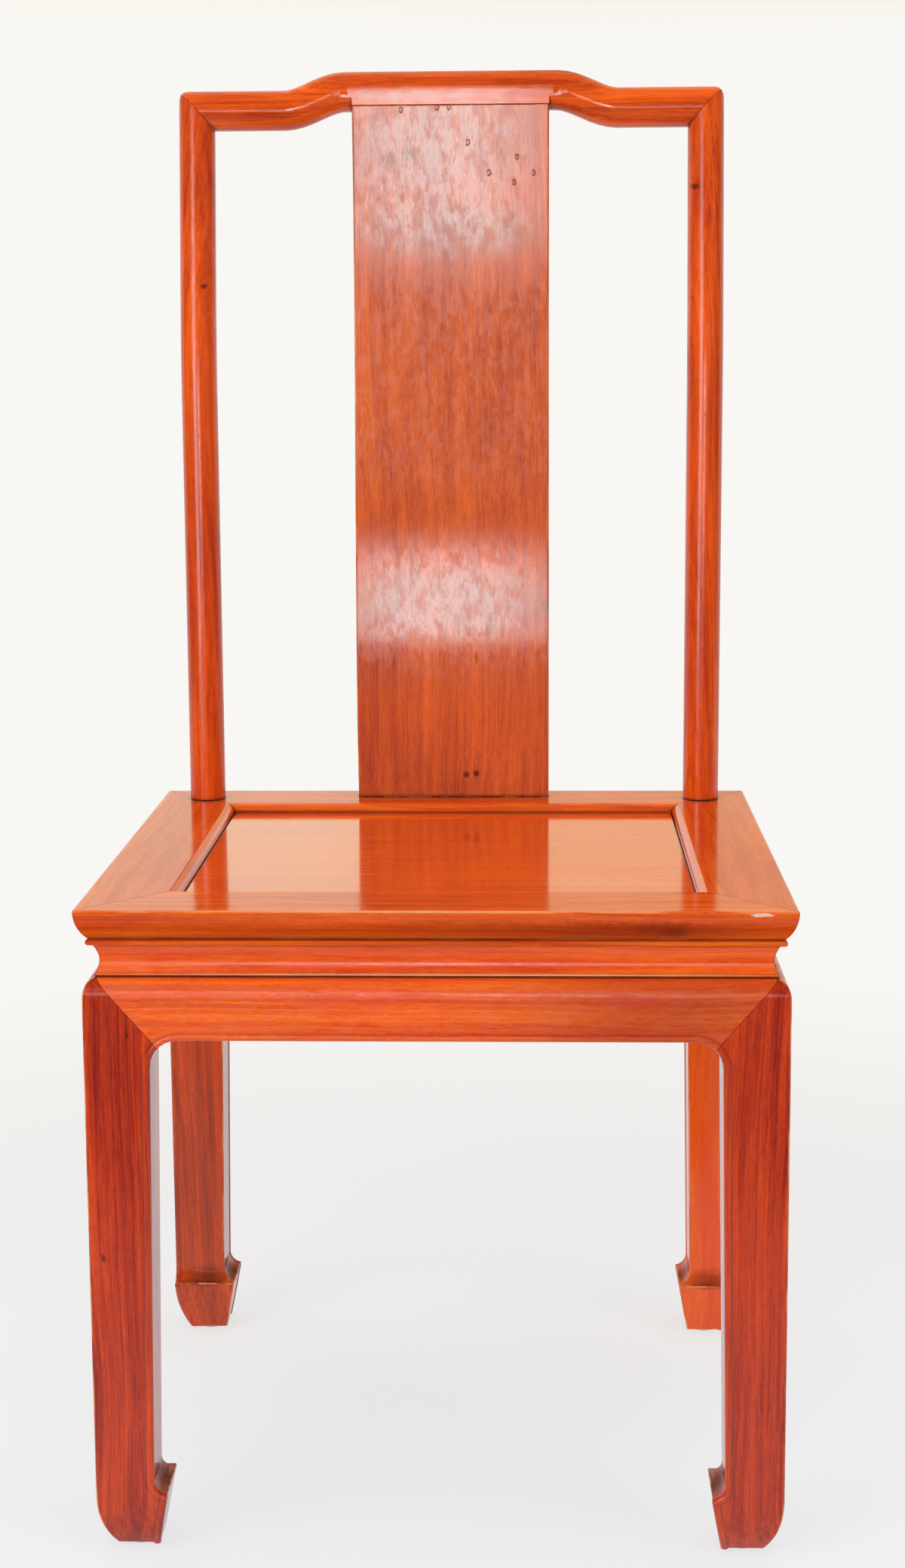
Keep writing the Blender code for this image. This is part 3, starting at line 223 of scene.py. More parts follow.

# Marks that the photograph shows: the part, the kind of mark, its half sizes and its places.
# Blooms are painted highlight that stands in for some of the photograph's window glare, and dull and faded
# marks for where it ends. Shade marks are painted shade, and the rub on the seat's front edge is wear with a
# painted highlight.
PLACED_MARKS = (
    ("back_splat", "knot", (0.0034, 0.02, 0.0038), ((0.0113, 0.181, 0.5008), (0.0197, 0.181, 0.5021))),
    ("back_splat", "stain", (0.0075, 0.03, 0.0095), ((-0.0499, 0.207, 1.0150), (-0.0347, 0.207, 1.0170))),
    ("back_splat", "stain", (0.0030, 0.05, 0.0100), ((0.0779, 0.18, 0.645),)),
    ("back_splat", "stain", (0.0018, 0.05, 0.0080), ((0.0208, 0.18, 0.603),)),
    ("back_splat", "dull", (0.30, 0.08, 0.090), ((0.0, 0.18, 0.50),)),
    ("back_splat", "faded", (0.60, 0.16, 0.062), ((0.0, 0.18, 0.727),)),
    ("back_splat", "bloom_and_painted_glare", (0.110, 0.06, 0.070), ((-0.010, 0.19, 1.030),)),
    ("back_splat", "bloom_and_painted_glare", (0.110, 0.06, 0.034), ((0.0, 0.19, 0.958),)),
    ("back_splat", "bloom_and_painted_glare", (0.130, 0.06, 0.040), ((0.0, 0.19, 0.648),)),
    ("back_splat", "drop", (0.0021, 0.03, 0.0030), (
        (-0.0409, 0.207, 1.0539), (-0.0112, 0.207, 1.0558), (-0.0012, 0.207, 1.0558), (0.0141, 0.207, 1.0274),
        (0.0318, 0.207, 1.0030), (0.0524, 0.207, 0.9952), (0.0548, 0.207, 1.0153), (0.0685, 0.207, 1.0029),
    )),
    ("leg_front_left", "knot", (0.0024, 0.01, 0.0036), ((-0.2369, -0.2319, 0.227),)),
    ("leg_front_left", "knot", (0.0018, 0.01, 0.0026), ((-0.2151, -0.2319, 0.3906),)),
    ("leg_front_left", "knot", (0.02, 0.0030, 0.0040), ((-0.2010, -0.2200, 0.359),)),
    ("right_back_post", "knot", (0.0050, 0.03, 0.0035), ((0.2016, 0.1968, 0.990),)),
    ("left_back_post", "knot", (0.0040, 0.03, 0.0030), ((-0.2046, 0.1839, 0.912),)),
    ("apron_front", "shade", (0.19, 0.06, 0.06), ((0.17, -0.225, 0.405),)),
    ("crest_rail", "bloom_and_painted_glare", (0.075, 0.03, 0.0065), ((-0.035, 0.205, 1.0655),)),
    ("seat_front_rail", "chip", (0.0090, 0.006, 0.0016), ((0.2243, -0.2348, 0.4785),)),
    ("seat_front_rail", "stain", (0.030, 0.04, 0.0090), ((0.157, -0.225, 0.468),)),
    ("seat_front_rail", "shade", (0.40, 0.03, 0.0140), ((-0.05, -0.235, 0.464),)),
    ("seat_front_rail", "shade", (0.21, 0.03, 0.0130), ((0.10, -0.235, 0.466),)),
    ("seat_front_rail", "shade", (0.13, 0.03, 0.0110), ((0.15, -0.235, 0.466),)),
    ("seat_front_rail", "stain", (0.014, 0.03, 0.0060), ((0.166, -0.235, 0.4655),)),
    ("seat_front_rail", "dull", (0.60, 0.02, 0.0120), ((0.0, -0.2348, 0.4630),)),
    ("seat_front_rail", "rub_and_painted_glint", (0.22, 0.0014, 0.0012), ((-0.05, -0.2348, 0.4806),)),
)

# The rubbed bead low on each waist strip, lighter as wear and a painted highlight, and the hollow over each
# toe, darker and matt as painted shade and dirt
WAIST_RUB_AND_PAINTED_GLINT_RISE = 0.0050
WAIST_RUB_AND_PAINTED_GLINT = (0.30, 0.30, 0.0011)
TOE_HOLLOW_RISE = 0.0545
TOE_HOLLOW_ACROSS = 0.0155
TOE_HOLLOW_ALONG = 0.034
TOE_HOLLOW_HEIGHT = 0.0130

# Floor and backdrop: near white low down, and warm higher up where the seat mirrors it, more so on the right
FLOOR_SIZE = 12.0
FLOOR_CELLS = 8
FLOOR_WHITE = (0.86, 0.89, 0.93, 1.0)
FLOOR_NEAR_GLOW = (0.98, 1.0, 1.0, 1.0)
FLOOR_FADE = (-0.40, 0.90)
FLOOR_FAR = (1.8, 4.0)
FLOOR_SHADOW_REACH = (0.55, 1.6)
FLOOR_SHADOW_KEPT = 0.28
BACKDROP_WHITE = (0.945, 0.930, 0.900, 1.0)
BACKDROP_WARM_LEFT = (1.0, 0.880, 0.640, 1.0)
BACKDROP_WARM_RIGHT = (0.96, 0.630, 0.370, 1.0)
BACKDROP_WARM_TURN = (-0.11, 0.02)
BACKDROP_WARM_RISE = (0.12, 0.19)
WHITE = (1.0, 1.0, 1.0, 1.0)
WORLD_LIGHT = 0.32

# The room behind the camera is dim in the lacquer, so the wood's front shows its own colour
ROOM_DIM = 0.04
ROOM_TURN = (0.0, 0.45)
ROOM_FLOOR = (-1.20, 0.10)

# Softboxes that the lacquer doesn't show: a place, a size and a power in watts
SOFTBOX_TARGET = (0.0, 0.0, 0.5)
SOFTBOXES = (
    ("key", (-2.4, -2.4, 2.6), (2.2, 2.2), 36),
    ("fill", (2.8, -1.8, 1.6), (2.0, 2.0), 22),
    ("ceiling", (0.0, 0.2, 3.0), (2.2, 2.2), 30),
)

# Windows that it does show, except in the flat seat. One is at the side.
SIDE_WINDOW_PLACE = (-2.4, -4.6, 1.5)
SIDE_WINDOW_TARGET = (0.0, 0.0, 0.8)
SIDE_WINDOW_SIZE = (1.8, 2.8)
SIDE_WINDOW_POWER = 84

# The others stand in a row across the room: a name, a span from left to right, and a glare
WINDOW_DISTANCE = 9.3
WINDOW_MIDDLE = 1.19
WINDOW_HEIGHT = 1.55
WINDOWS = (
    ("left_window", (-2.10, -0.86), 3.0),
    ("middle_window", (-0.82, 0.06), 11.0),
    ("right_window", (0.10, 1.30), 2.5),
)


def clear_scene():
    for obj in list(bpy.data.objects):
        bpy.data.objects.remove(obj, do_unlink=True)


# Node helpers
class Nodes:
    """Adds nodes to a tree: what is passed in is wired if it is a socket, and set if it is a value."""

    def __init__(self, tree):
        self.tree = tree

    def add(self, kind, values=None, **settings):
        made = self.tree.nodes.new(kind)
        for name, setting in settings.items():
            setattr(made, name, setting)
        for name, value in (values or {}).items():
            self.fill(made.inputs[name], value)
        return made

    def fill(self, socket, value):
        if isinstance(value, bpy.types.NodeSocket):
            self.link(value, socket)
        else:
            socket.default_value = value

    def link(self, source, target):
        self.tree.links.new(source, target)

    def math(self, operation, first, second=0.0, clamp=False):
        values = {0: first, 1: second}
        return self.add("ShaderNodeMath", values, operation=operation, use_clamp=clamp).outputs[0]

    def vector(self, operation, first, second=(0.0, 0.0, 0.0)):
        made = self.add("ShaderNodeVectorMath", {0: first, 1: second}, operation=operation)
        return made.outputs["Vector"]

    def length(self, vector):
        return self.add("ShaderNodeVectorMath", {0: vector}, operation="LENGTH").outputs["Value"]

    def axes(self, vector):
        return self.add("ShaderNodeSeparateXYZ", {0: vector}).outputs

    def span(self, value, low, high, to_low=0.0, to_high=1.0):
        """Stretch a value's useful range, with soft ends."""
        values = {"Value": value, "From Min": low, "From Max": high, "To Min": to_low, "To Max": to_high}
        return self.add("ShaderNodeMapRange", values, interpolation_type="SMOOTHSTEP").outputs["Result"]

    def noise(self, place, stretch, detail, roughness):
        values = {
            "Vector": self.vector("MULTIPLY", place, stretch),
            "Scale": 1.0, "Detail": detail, "Roughness": roughness,
        }
        return self.add("ShaderNodeTexNoise", values, noise_dimensions="3D").outputs

    def noise_line(self, value, frequency, shift, detail):
        """Noise along one number, such as the distance from the heart of the tree."""
        moved = self.math("ADD", self.math("MULTIPLY", value, frequency), shift)
        values = {"W": moved, "Scale": 1.0, "Detail": detail}
        return self.add("ShaderNodeTexNoise", values, noise_dimensions="1D").outputs["Fac"]

    def mix(self, factor, first, second):
        """A colour between two."""
        values = {MIX_FACTOR: factor, MIX_FIRST: first, MIX_SECOND: second}
        return self.add("ShaderNodeMix", values, data_type="RGBA", clamp_factor=True).outputs[MIX_RESULT]

    def weighted_sum(self, terms):
        total = 0.0
        for value, weight in terms:
            total = self.math("ADD", self.math("MULTIPLY", value, weight), total)
        return total

    def around_zero(self, noise):
        return self.vector("SUBTRACT", noise, (NOISE_MIDDLE, NOISE_MIDDLE, NOISE_MIDDLE))


# Rosewood
def rosewood_group():
    """Wood with its grain along Z: colour, roughness and relief from a place in metres."""
    tree = bpy.data.node_groups.new("rosewood", "ShaderNodeTree")
    face = tree.interface
    face.new_socket("Place", in_out="INPUT", socket_type="NodeSocketVector")
    for name in ("Light", "Dark", "Vein"):
        face.new_socket(name, in_out="INPUT", socket_type="NodeSocketColor")
    for name in ("Rings", "Streaks", "Haze", "Patches"):
        face.new_socket(name, in_out="INPUT", socket_type="NodeSocketFloat")
    face.new_socket("Colour", in_out="OUTPUT", socket_type="NodeSocketColor")
    for name in ("Roughness", "Grain", "Fleck", "Ripple", "Smudge"):
        face.new_socket(name, in_out="OUTPUT", socket_type="NodeSocketFloat")
    nodes = Nodes(tree)
    given = nodes.add("NodeGroupInput").outputs
    place = given["Place"]

    # Slow waves bend the rings, and the rings are noise along the distance from the heart
    bend = nodes.around_zero(nodes.noise(place, *WOOD_NOISE["bend"])["Color"])
    bent = nodes.vector("ADD", place, nodes.vector("MULTIPLY", bend, BEND_REACH))
    radius = nodes.length(nodes.vector("MULTIPLY", bent, ACROSS_GRAIN))
    broad = nodes.span(nodes.noise_line(radius, *BROAD_RINGS), *RING_SPAN)
    fine = nodes.span(nodes.noise_line(radius, *FINE_RINGS), *RING_SPAN)
    rings = nodes.weighted_sum([(broad, BROAD_SHARE), (fine, FINE_SHARE)])
    line = nodes.noise_line(radius, *VEIN_RINGS)

    # Streaks, fibres, flecks and pores follow the bent grain. Clouds, smudges and ripples don't.
    streak = nodes.noise(bent, *WOOD_NOISE["streak"])["Fac"]
    fibre = nodes.noise(bent, *WOOD_NOISE["fibre"])["Fac"]
    fleck = nodes.span(nodes.noise(bent, *WOOD_NOISE["fleck"])["Fac"], *FLECK_SPAN)
    pores = nodes.span(nodes.noise(bent, *WOOD_NOISE["pore"])["Fac"], *PORE_SPAN)
    cloud = nodes.noise(place, *WOOD_NOISE["cloud"])["Fac"]
    smudge = nodes.span(nodes.noise(place, *WOOD_NOISE["smudge"])["Fac"], *SMUDGE_SPAN)
    ripple = nodes.noise(place, *WOOD_NOISE["ripple"])["Fac"]
    off_line = nodes.math("ABSOLUTE", nodes.math("SUBTRACT", line, NOISE_MIDDLE))
    veins = nodes.math("MULTIPLY", nodes.span(off_line, *VEIN_SPAN), nodes.span(cloud, *VEIN_CLOUD_SPAN))
    veins = nodes.math("MULTIPLY", veins, given["Rings"])

    tone = NOISE_MIDDLE
    for layer, weight in (
        (rings, given["Rings"]),
        (nodes.span(streak, *STREAK_SPAN), given["Streaks"]),
        (nodes.span(fibre, *FIBRE_SPAN), FIBRE_TONE),
        (fleck, FLECK_TONE),
        (nodes.span(cloud, *CLOUD_SPAN), CLOUD_TONE),
    ):
        change = nodes.math("MULTIPLY", nodes.math("SUBTRACT", layer, NOISE_MIDDLE), weight)
        tone = nodes.math("ADD", tone, change)
    colour = nodes.mix(tone, given["Dark"], given["Light"])
    colour = nodes.mix(nodes.math("MULTIPLY", veins, VEIN_TONE), colour, given["Vein"])
    colour = nodes.mix(nodes.math("MULTIPLY", pores, PORE_TONE), colour, given["Vein"])

    rough = nodes.weighted_sum([(smudge, given["Patches"]), (fleck, FLECK_HAZE), (pores, PORE_HAZE)])
    rough = nodes.math("MULTIPLY", given["Haze"], nodes.math("ADD", rough, PLAIN_HAZE))
    grain = nodes.weighted_sum([(pores, PORE_RELIEF), (fibre, FIBRE_RELIEF)])

    done = nodes.add("NodeGroupOutput").inputs
    nodes.link(colour, done["Colour"])
    nodes.link(rough, done["Roughness"])
    nodes.link(grain, done["Grain"])
    nodes.link(fleck, done["Fleck"])
    nodes.link(ripple, done["Ripple"])
    nodes.link(smudge, done["Smudge"])
    return tree


@dataclass
class Finish:
    """How one part is finished: its wood, its edges and its lacquer.

    The heart is where the middle of the tree lay, in metres from the middle of the part. More haze
    makes the lacquer less glossy, and patches make it uneven.
    """
    tone: str
    grain: str
    heart: tuple
    edge: str
    rings: float = 0.6
    streaks: float = 0.5
    haze: float = 0.13
    patches: float = 0.4
    ripple: float = 0.03
    coat: float = 1.0
    coat_ior: float = LACQUER_IOR
    polished: bool = False
    marks: list = field(default_factory=list)

    def mark(self, kind, place, size):
        self.marks.append((MARKS[kind], place, size))


def finishes():
    """A finish for every wooden part, by its name."""
    found = {}
    for side, grain in (("front", "X"), ("rear", "X"), ("left", "Y"), ("right", "Y")):
        found[f"seat_{side}_rail"] = Finish(
            "rail", grain, heart=(0.03, 0.02, -0.11), edge="seat",
            haze=0.10, ripple=0.01, coat_ior=POLISHED_IOR,
        )
        found[f"waist_{side}"] = Finish(
            "apron", grain, heart=(0.01, 0.02, -0.10), edge="apron", rings=0.4, haze=0.19,
        )
        found[f"apron_{side}"] = Finish(
            "apron", grain, heart=(0.02, 0.03, -0.13), edge="apron", haze=0.30,
        )
    found["seat_panel"] = Finish(
        "panel", "X", heart=(0.0, 0.16, -0.05), edge="seat",
        rings=0.4, streaks=0.4, haze=0.06, ripple=0.01, coat_ior=POLISHED_IOR, polished=True,
    )
    for x_name, x_side in (("left", -1), ("right", 1)):
        found[f"{x_name}_back_post"] = Finish(
            "post", "Z", heart=(0.06 * x_side, 0.05, 0.0), edge="back", haze=0.18,
        )
        found[f"seat_batten_{x_name}"] = Finish(
            "hidden", "Y", heart=(0.05, 0.0, 0.08), edge="hidden", haze=0.4, coat=0.1,
        )
        for y_name, tone, y_side in (("front", "leg", -1), ("rear", f"rear_{x_name}_leg", 1)):
            found[f"leg_{y_name}_{x_name}"] = Finish(
                tone, "Z", heart=(0.09 * x_side, 0.07 * y_side, 0.0), edge="leg",
            )
    found["crest_rail"] = Finish("crest", "X", heart=(0.0, 0.05, -0.09), edge="back", haze=0.10)
    found["back_splat"] = Finish(
        "splat", "Z", heart=(0.21, 0.05, 0.0), edge="back", rings=0.3, streaks=0.4, haze=0.11, patches=0.8,
    )
    add_marks(found)
    return found


def add_marks(found):
    """The marks that the photograph shows, and those that every waist strip and every foot has."""
    for node, kind, size, places in PLACED_MARKS:
        for place in places:
            found[node].mark(kind, place, size)
    for node, finish in found.items():
        if node.startswith("waist_"):
            low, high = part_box(node)
            finish.mark("rub_and_painted_glint", (0.0, (low.y + high.y) / 2, low.z + WAIST_RUB_AND_PAINTED_GLINT_RISE), WAIST_RUB_AND_PAINTED_GLINT)
        elif node.startswith("leg_"):
            add_toe_painted_shade_and_dirt(node, finish)


def add_toe_painted_shade_and_dirt(node, finish):
    """Painted shade and dirt in the hollows over the toes, on the two inner faces of a leg."""
    low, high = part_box(node)
    middle = (low + high) / 2
    inner_x = low.x if high.x > 0 else high.x
    inner_y = low.y if high.y > 0 else high.y
    size = (TOE_HOLLOW_ACROSS, TOE_HOLLOW_ALONG, TOE_HOLLOW_HEIGHT)
    finish.mark("painted_shade_and_dirt", (inner_x, middle.y, TOE_HOLLOW_RISE), size)
    size = (TOE_HOLLOW_ALONG, TOE_HOLLOW_ACROSS, TOE_HOLLOW_HEIGHT)
    finish.mark("painted_shade_and_dirt", (middle.x, inner_y, TOE_HOLLOW_RISE), size)


def spot(nodes, place, centre, size, rim):
    """1 inside a small oval with a soft rim, and 0 away from it."""
    scaled = nodes.vector("DIVIDE", nodes.vector("SUBTRACT", place, centre), size)
    return nodes.span(nodes.length(scaled), 1.0, rim)


def place_in_log(nodes, node, finish, object_place):
    """A part's place in its own log, with the grain along Z and the heart of the tree at the middle."""
    low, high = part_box(node)
    turn = GRAIN[finish.grain]
    heart = Euler(turn).to_matrix() @ ((low + high) / 2 + Vector(finish.heart))
    values = {"Vector": object_place, "Rotation": turn, "Location": -heart}
    return nodes.add("ShaderNodeMapping", values).outputs["Vector"]


def add_wood(nodes, finish, group, place):
    """The rosewood of one part, as the outputs of its node group."""
    light, dark, vein = ((*tone, 1.0) for tone in TONES[finish.tone])
    values = {
        "Place": place, "Light": light, "Dark": dark, "Vein": vein,
        "Rings": finish.rings, "Streaks": finish.streaks, "Haze": finish.haze, "Patches": finish.patches,
    }
    wood = nodes.add("ShaderNodeGroup", node_tree=group)
    for name, value in values.items():
        nodes.fill(wood.inputs[name], value)
    return wood.outputs


def lay_marks(nodes, finish, wood, place, relief):
    """Lay a part's marks over its colour and relief, and find where they leave the lacquer matt."""
    colour = wood["Colour"]
    matt = None
    if not finish.marks:
        return colour, relief, matt
    shake = nodes.around_zero(nodes.noise(place, *RAGGED_NOISE)["Color"])
    for kind, centre, size in finish.marks:
        reach = RAGGED_REACH * kind.ragged
        moved = nodes.vector("ADD", place, nodes.vector("MULTIPLY", shake, (reach, reach, reach)))
        mask = spot(nodes, moved, centre, size, kind.rim)
        if kind.patchy_painted_glare:
            normal = nodes.add("ShaderNodeNewGeometry").outputs["Normal"]
            for layer in (
                nodes.span(wood["Fleck"], *PAINTED_GLARE_FLECKS),
                nodes.span(wood["Smudge"], *PAINTED_GLARE_SMUDGES),
                nodes.span(nodes.axes(normal)["Y"], *PAINTED_GLARE_FRONT_SPAN),
            ):
                mask = nodes.math("MULTIPLY", mask, layer)
        if kind.colour:
            colour = nodes.mix(nodes.math("MULTIPLY", mask, kind.share), colour, (*kind.colour, 1.0))
        if kind.relief:
            relief = nodes.math("ADD", relief, nodes.math("MULTIPLY", mask, kind.relief))
        if kind.dull:
            matt = mask if matt is None else nodes.math("ADD", matt, mask)
    return colour, relief, matt


def rosewood(node, finish, group, worn_and_painted_glint):
    """One part's own piece of rosewood under lacquer, or the same wood where its edges are worn and lighter,
    with a painted highlight.
    """
    material = bpy.data.materials.new(f"{node}_worn" if worn_and_painted_glint else f"{node}_rosewood")
    material.use_nodes = True
    nodes = Nodes(material.node_tree)
    shader = material.node_tree.nodes["Principled BSDF"].inputs
    object_place = nodes.add("ShaderNodeTexCoord").outputs["Object"]
    log_place = place_in_log(nodes, node, finish, object_place)
    wood = add_wood(nodes, finish, group, log_place)
    relief = nodes.weighted_sum([(wood["Ripple"], finish.ripple), (wood["Fleck"], FLECK_RELIEF)])
    colour, relief, matt = lay_marks(nodes, finish, wood, object_place, relief)

    # The crevices darkened by how open the space close by is: painted shade, and dirt
    values = {"Distance": CREVICE_PAINTED_SHADE_AND_DIRT_REACH}
    open_space = nodes.add("ShaderNodeAmbientOcclusion", values, samples=CREVICE_PAINTED_SHADE_AND_DIRT_SAMPLES).outputs["AO"]
    colour = nodes.mix(nodes.span(open_space, *CREVICE_PAINTED_SHADE_AND_DIRT_SPAN, 0.0, CREVICE_PAINTED_SHADE_AND_DIRT_SHARE), colour, CREVICE_PAINTED_SHADE_AND_DIRT_TONE)
    # Bevelled edges lighter, broken up by noise: wear, and a painted highlight
    if worn_and_painted_glint:
        wear_and_painted_glint = nodes.noise(log_place, *WOOD_NOISE["wear_and_painted_glint"])["Fac"]
        colour = nodes.mix(nodes.span(wear_and_painted_glint, *WEAR_AND_PAINTED_GLINT_SPAN, *WEAR_AND_PAINTED_GLINT_SHARE), colour, WORN_AND_PAINTED_GLINT_TONE)
    nodes.link(colour, shader["Base Color"])
    add_lacquer(nodes, shader, finish, wood, relief, matt)
    return material


def add_lacquer(nodes, shader, finish, wood, relief, matt):
    """Lacquer as a coat with its own relief, over wood that has a finer one."""
    wood_bump = nodes.add("ShaderNodeBump", {"Height": wood["Grain"], "Distance": BUMP_UNIT})
    coat_bump = nodes.add("ShaderNodeBump", {"Height": relief, "Distance": BUMP_UNIT})
    nodes.link(wood_bump.outputs["Normal"], shader["Normal"])
    nodes.link(coat_bump.outputs["Normal"], shader["Coat Normal"])
    nodes.link(wood["Roughness"], shader["Coat Roughness"])
    wood_rough = POLISHED_ROUGHNESS if finish.polished else WOOD_ROUGHNESS
    nodes.link(nodes.math("ADD", wood["Roughness"], wood_rough), shader["Roughness"])
    shader["Specular IOR Level"].default_value = POLISHED_SHEEN if finish.polished else WOOD_SHEEN
    if finish.polished:
        shader["Specular Tint"].default_value = POLISHED_TINT
    shader["Coat IOR"].default_value = finish.coat_ior
    shader["Coat Weight"].default_value = finish.coat
    if matt is not None:
        nodes.link(nodes.math("SUBTRACT", finish.coat, matt, clamp=True), shader["Coat Weight"])


def glide_plastic():
    """Off-white moulded plastic, scuffed and a little soiled."""
    material = bpy.data.materials.new("glide_plastic")
    material.use_nodes = True
    nodes = Nodes(material.node_tree)
    shader = material.node_tree.nodes["Principled BSDF"].inputs
    place = nodes.add("ShaderNodeTexCoord").outputs["Object"]
    soil = nodes.span(nodes.noise(place, *GLIDE_SOIL_NOISE)["Fac"], *GLIDE_SOIL_SPAN)
    scuff = nodes.noise(place, *GLIDE_SCUFF_NOISE)["Fac"]
    colour = nodes.mix(nodes.math("MULTIPLY", soil, GLIDE_SOIL_SHARE), GLIDE_CLEAN, GLIDE_SOILED)
    nodes.link(colour, shader["Base Color"])
    nodes.link(nodes.span(scuff, *GLIDE_SCUFF_SPAN, *GLIDE_ROUGHNESS), shader["Roughness"])
    height = nodes.math("MULTIPLY", scuff, GLIDE_SCUFF_RELIEF)
    bump = nodes.add("ShaderNodeBump", {"Height": height, "Distance": BUMP_UNIT})
    nodes.link(bump.outputs["Normal"], shader["Normal"])
    return material


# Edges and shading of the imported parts
def geometry_group(name):
    """An empty modifier group that takes a mesh and gives one back."""
    tree = bpy.data.node_groups.new(name, "GeometryNodeTree")
    tree.is_modifier = True
    tree.interface.new_socket("Mesh", in_out="INPUT", socket_type="NodeSocketGeometry")
    tree.interface.new_socket("Mesh", in_out="OUTPUT", socket_type="NodeSocketGeometry")
    nodes = Nodes(tree)
    return tree, nodes, nodes.add("NodeGroupInput").outputs[0], nodes.add("NodeGroupOutput").inputs[0]


def weld_group():
    """Drop the stored normals and weld the loose triangles."""
    tree, nodes, mesh, done = geometry_group("weld")
    plain = nodes.add("GeometryNodeRemoveAttribute", {"Geometry": mesh, "Name": "custom_normal"})
    weld = nodes.add("GeometryNodeMergeByDistance", {"Geometry": plain.outputs[0], "Distance": WELD_WITHIN})
    nodes.link(weld.outputs[0], done)
    return tree


def soften_group(corner_edges):
    """Mark the arrises that the bevel rounds: long ones that run square, and those down a leg's corner."""
    tree, nodes, mesh, done = geometry_group("mark_corner_arrises" if corner_edges else "mark_arrises")
    angle = nodes.add("GeometryNodeInputMeshEdgeAngle").outputs["Signed Angle"]
    ends = nodes.add("GeometryNodeInputMeshEdgeVertices").outputs
    first, last = ends["Position 1"], ends["Position 2"]
    run = nodes.vector("ABSOLUTE", nodes.vector("SUBTRACT", first, last))
    length = nodes.length(run)
    steps = nodes.axes(run)
    longest = nodes.math("MAXIMUM", nodes.math("MAXIMUM", steps["X"], steps["Y"]), steps["Z"])
    square = nodes.math("GREATER_THAN", longest, nodes.math("MULTIPLY", length, SQUARE_WITHIN))
    chosen = nodes.math("MULTIPLY", square, nodes.math("GREATER_THAN", length, SOFTEN_LONGER_THAN))
    if corner_edges:
        chosen = nodes.math("MAXIMUM", chosen, on_corner_line(nodes, first, last))
    outer = nodes.math("GREATER_THAN", angle, math.radians(SOFTEN_ABOVE))
    store = nodes.add(
        "GeometryNodeStoreNamedAttribute",
        {"Geometry": mesh, "Name": "bevel_weight_edge", "Value": nodes.math("MULTIPLY", outer, chosen)},
        data_type="FLOAT", domain="EDGE",
    )
    nodes.link(store.outputs[0], done)
    return tree


def on_corner_line(nodes, first, last):
    """1 for an edge in the upright plane through a corner of the seat, where a leg's two faces meet."""
    front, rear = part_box("seat_front_rail"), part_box("seat_rear_rail")
    seat_middle = (0.0, (front[0].y + rear[1].y) / 2, 0.0)
    longer = (rear[1].x - front[0].x - rear[1].y + front[0].y) / 2
    middle = nodes.vector("MULTIPLY", nodes.vector("ADD", first, last), (0.5, 0.5, 0.5))
    away = nodes.axes(nodes.vector("ABSOLUTE", nodes.vector("SUBTRACT", middle, seat_middle)))
    uneven = nodes.math("SUBTRACT", away["X"], away["Y"])
    off_corner = nodes.math("ABSOLUTE", nodes.math("SUBTRACT", uneven, longer))
    return nodes.math("LESS_THAN", off_corner, CORNER_WITHIN)


def shade_group():
    """Smooth faces, with the edges that stay sharp marked by their angle."""
    tree, nodes, mesh, done = geometry_group("shade_by_angle")
    smooth = nodes.add("GeometryNodeSetShadeSmooth", {0: mesh, "Shade Smooth": True}, domain="FACE")
    angle = nodes.add("GeometryNodeInputMeshEdgeAngle").outputs
    sharp = nodes.math("GREATER_THAN", angle["Unsigned Angle"], math.radians(SHARP_ABOVE))
    crease = nodes.math("LESS_THAN", angle["Signed Angle"], math.radians(-CREASE_ABOVE))
    sharp = nodes.math("MAXIMUM", sharp, crease)
    values = {0: smooth.outputs[0], "Selection": sharp, "Shade Smooth": False}
    edges = nodes.add("GeometryNodeSetShadeSmooth", values, domain="EDGE")
    nodes.link(edges.outputs[0], done)
    return tree


class EdgeWork:
    """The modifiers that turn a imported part's bare triangles into a softly edged, smoothly shaded piece."""

    def __init__(self):
        self.weld = weld_group()
        self.soften = soften_group(corner_edges=False)
        self.soften_leg = soften_group(corner_edges=True)
        self.shade = shade_group()

    def dress(self, obj, radius):
        obj.modifiers.new("weld", "NODES").node_group = self.weld
        flat = obj.modifiers.new("flatten", "DECIMATE")
        flat.decimate_type = "DISSOLVE"
        flat.angle_limit = math.radians(FLAT_WITHIN)
        mark = obj.modifiers.new("mark", "NODES")
        mark.node_group = self.soften_leg if obj.name.startswith("leg_") else self.soften
        bevel = obj.modifiers.new("soften", "BEVEL")
        bevel.limit_method = "WEIGHT"
        bevel.width = radius
        bevel.segments = BEVEL_SEGMENTS
        bevel.material = WORN_AND_PAINTED_GLINT_SLOT
        bevel.use_clamp_overlap = False
        bevel.loop_slide = False
        obj.modifiers.new("shade", "NODES").node_group = self.shade
        normals = obj.modifiers.new("normals", "WEIGHTED_NORMAL")
        normals.keep_sharp = True


# Stage
def add_camera():
    data = bpy.data.cameras.new("camera")
    data.sensor_width = SENSOR_LONG_SIDE
    data.lens = SENSOR_LONG_SIDE * PHOTO_FOCAL_LENGTH / PHOTO_HEIGHT
    camera = bpy.data.objects.new("camera", data)
    bpy.context.scene.collection.objects.link(camera)
    turn = Matrix.Rotation(math.radians(CAMERA_TURN_LEFT), 4, "Z")
    tilt = Matrix.Rotation(math.radians(LEVEL_TILT - CAMERA_TILT_DOWN), 4, "X")
    roll = Matrix.Rotation(math.radians(CAMERA_ROLL), 4, "Z")
    camera.matrix_world = Matrix.Translation(CAMERA_PLACE) @ turn @ tilt @ roll
    bpy.context.scene.camera = camera


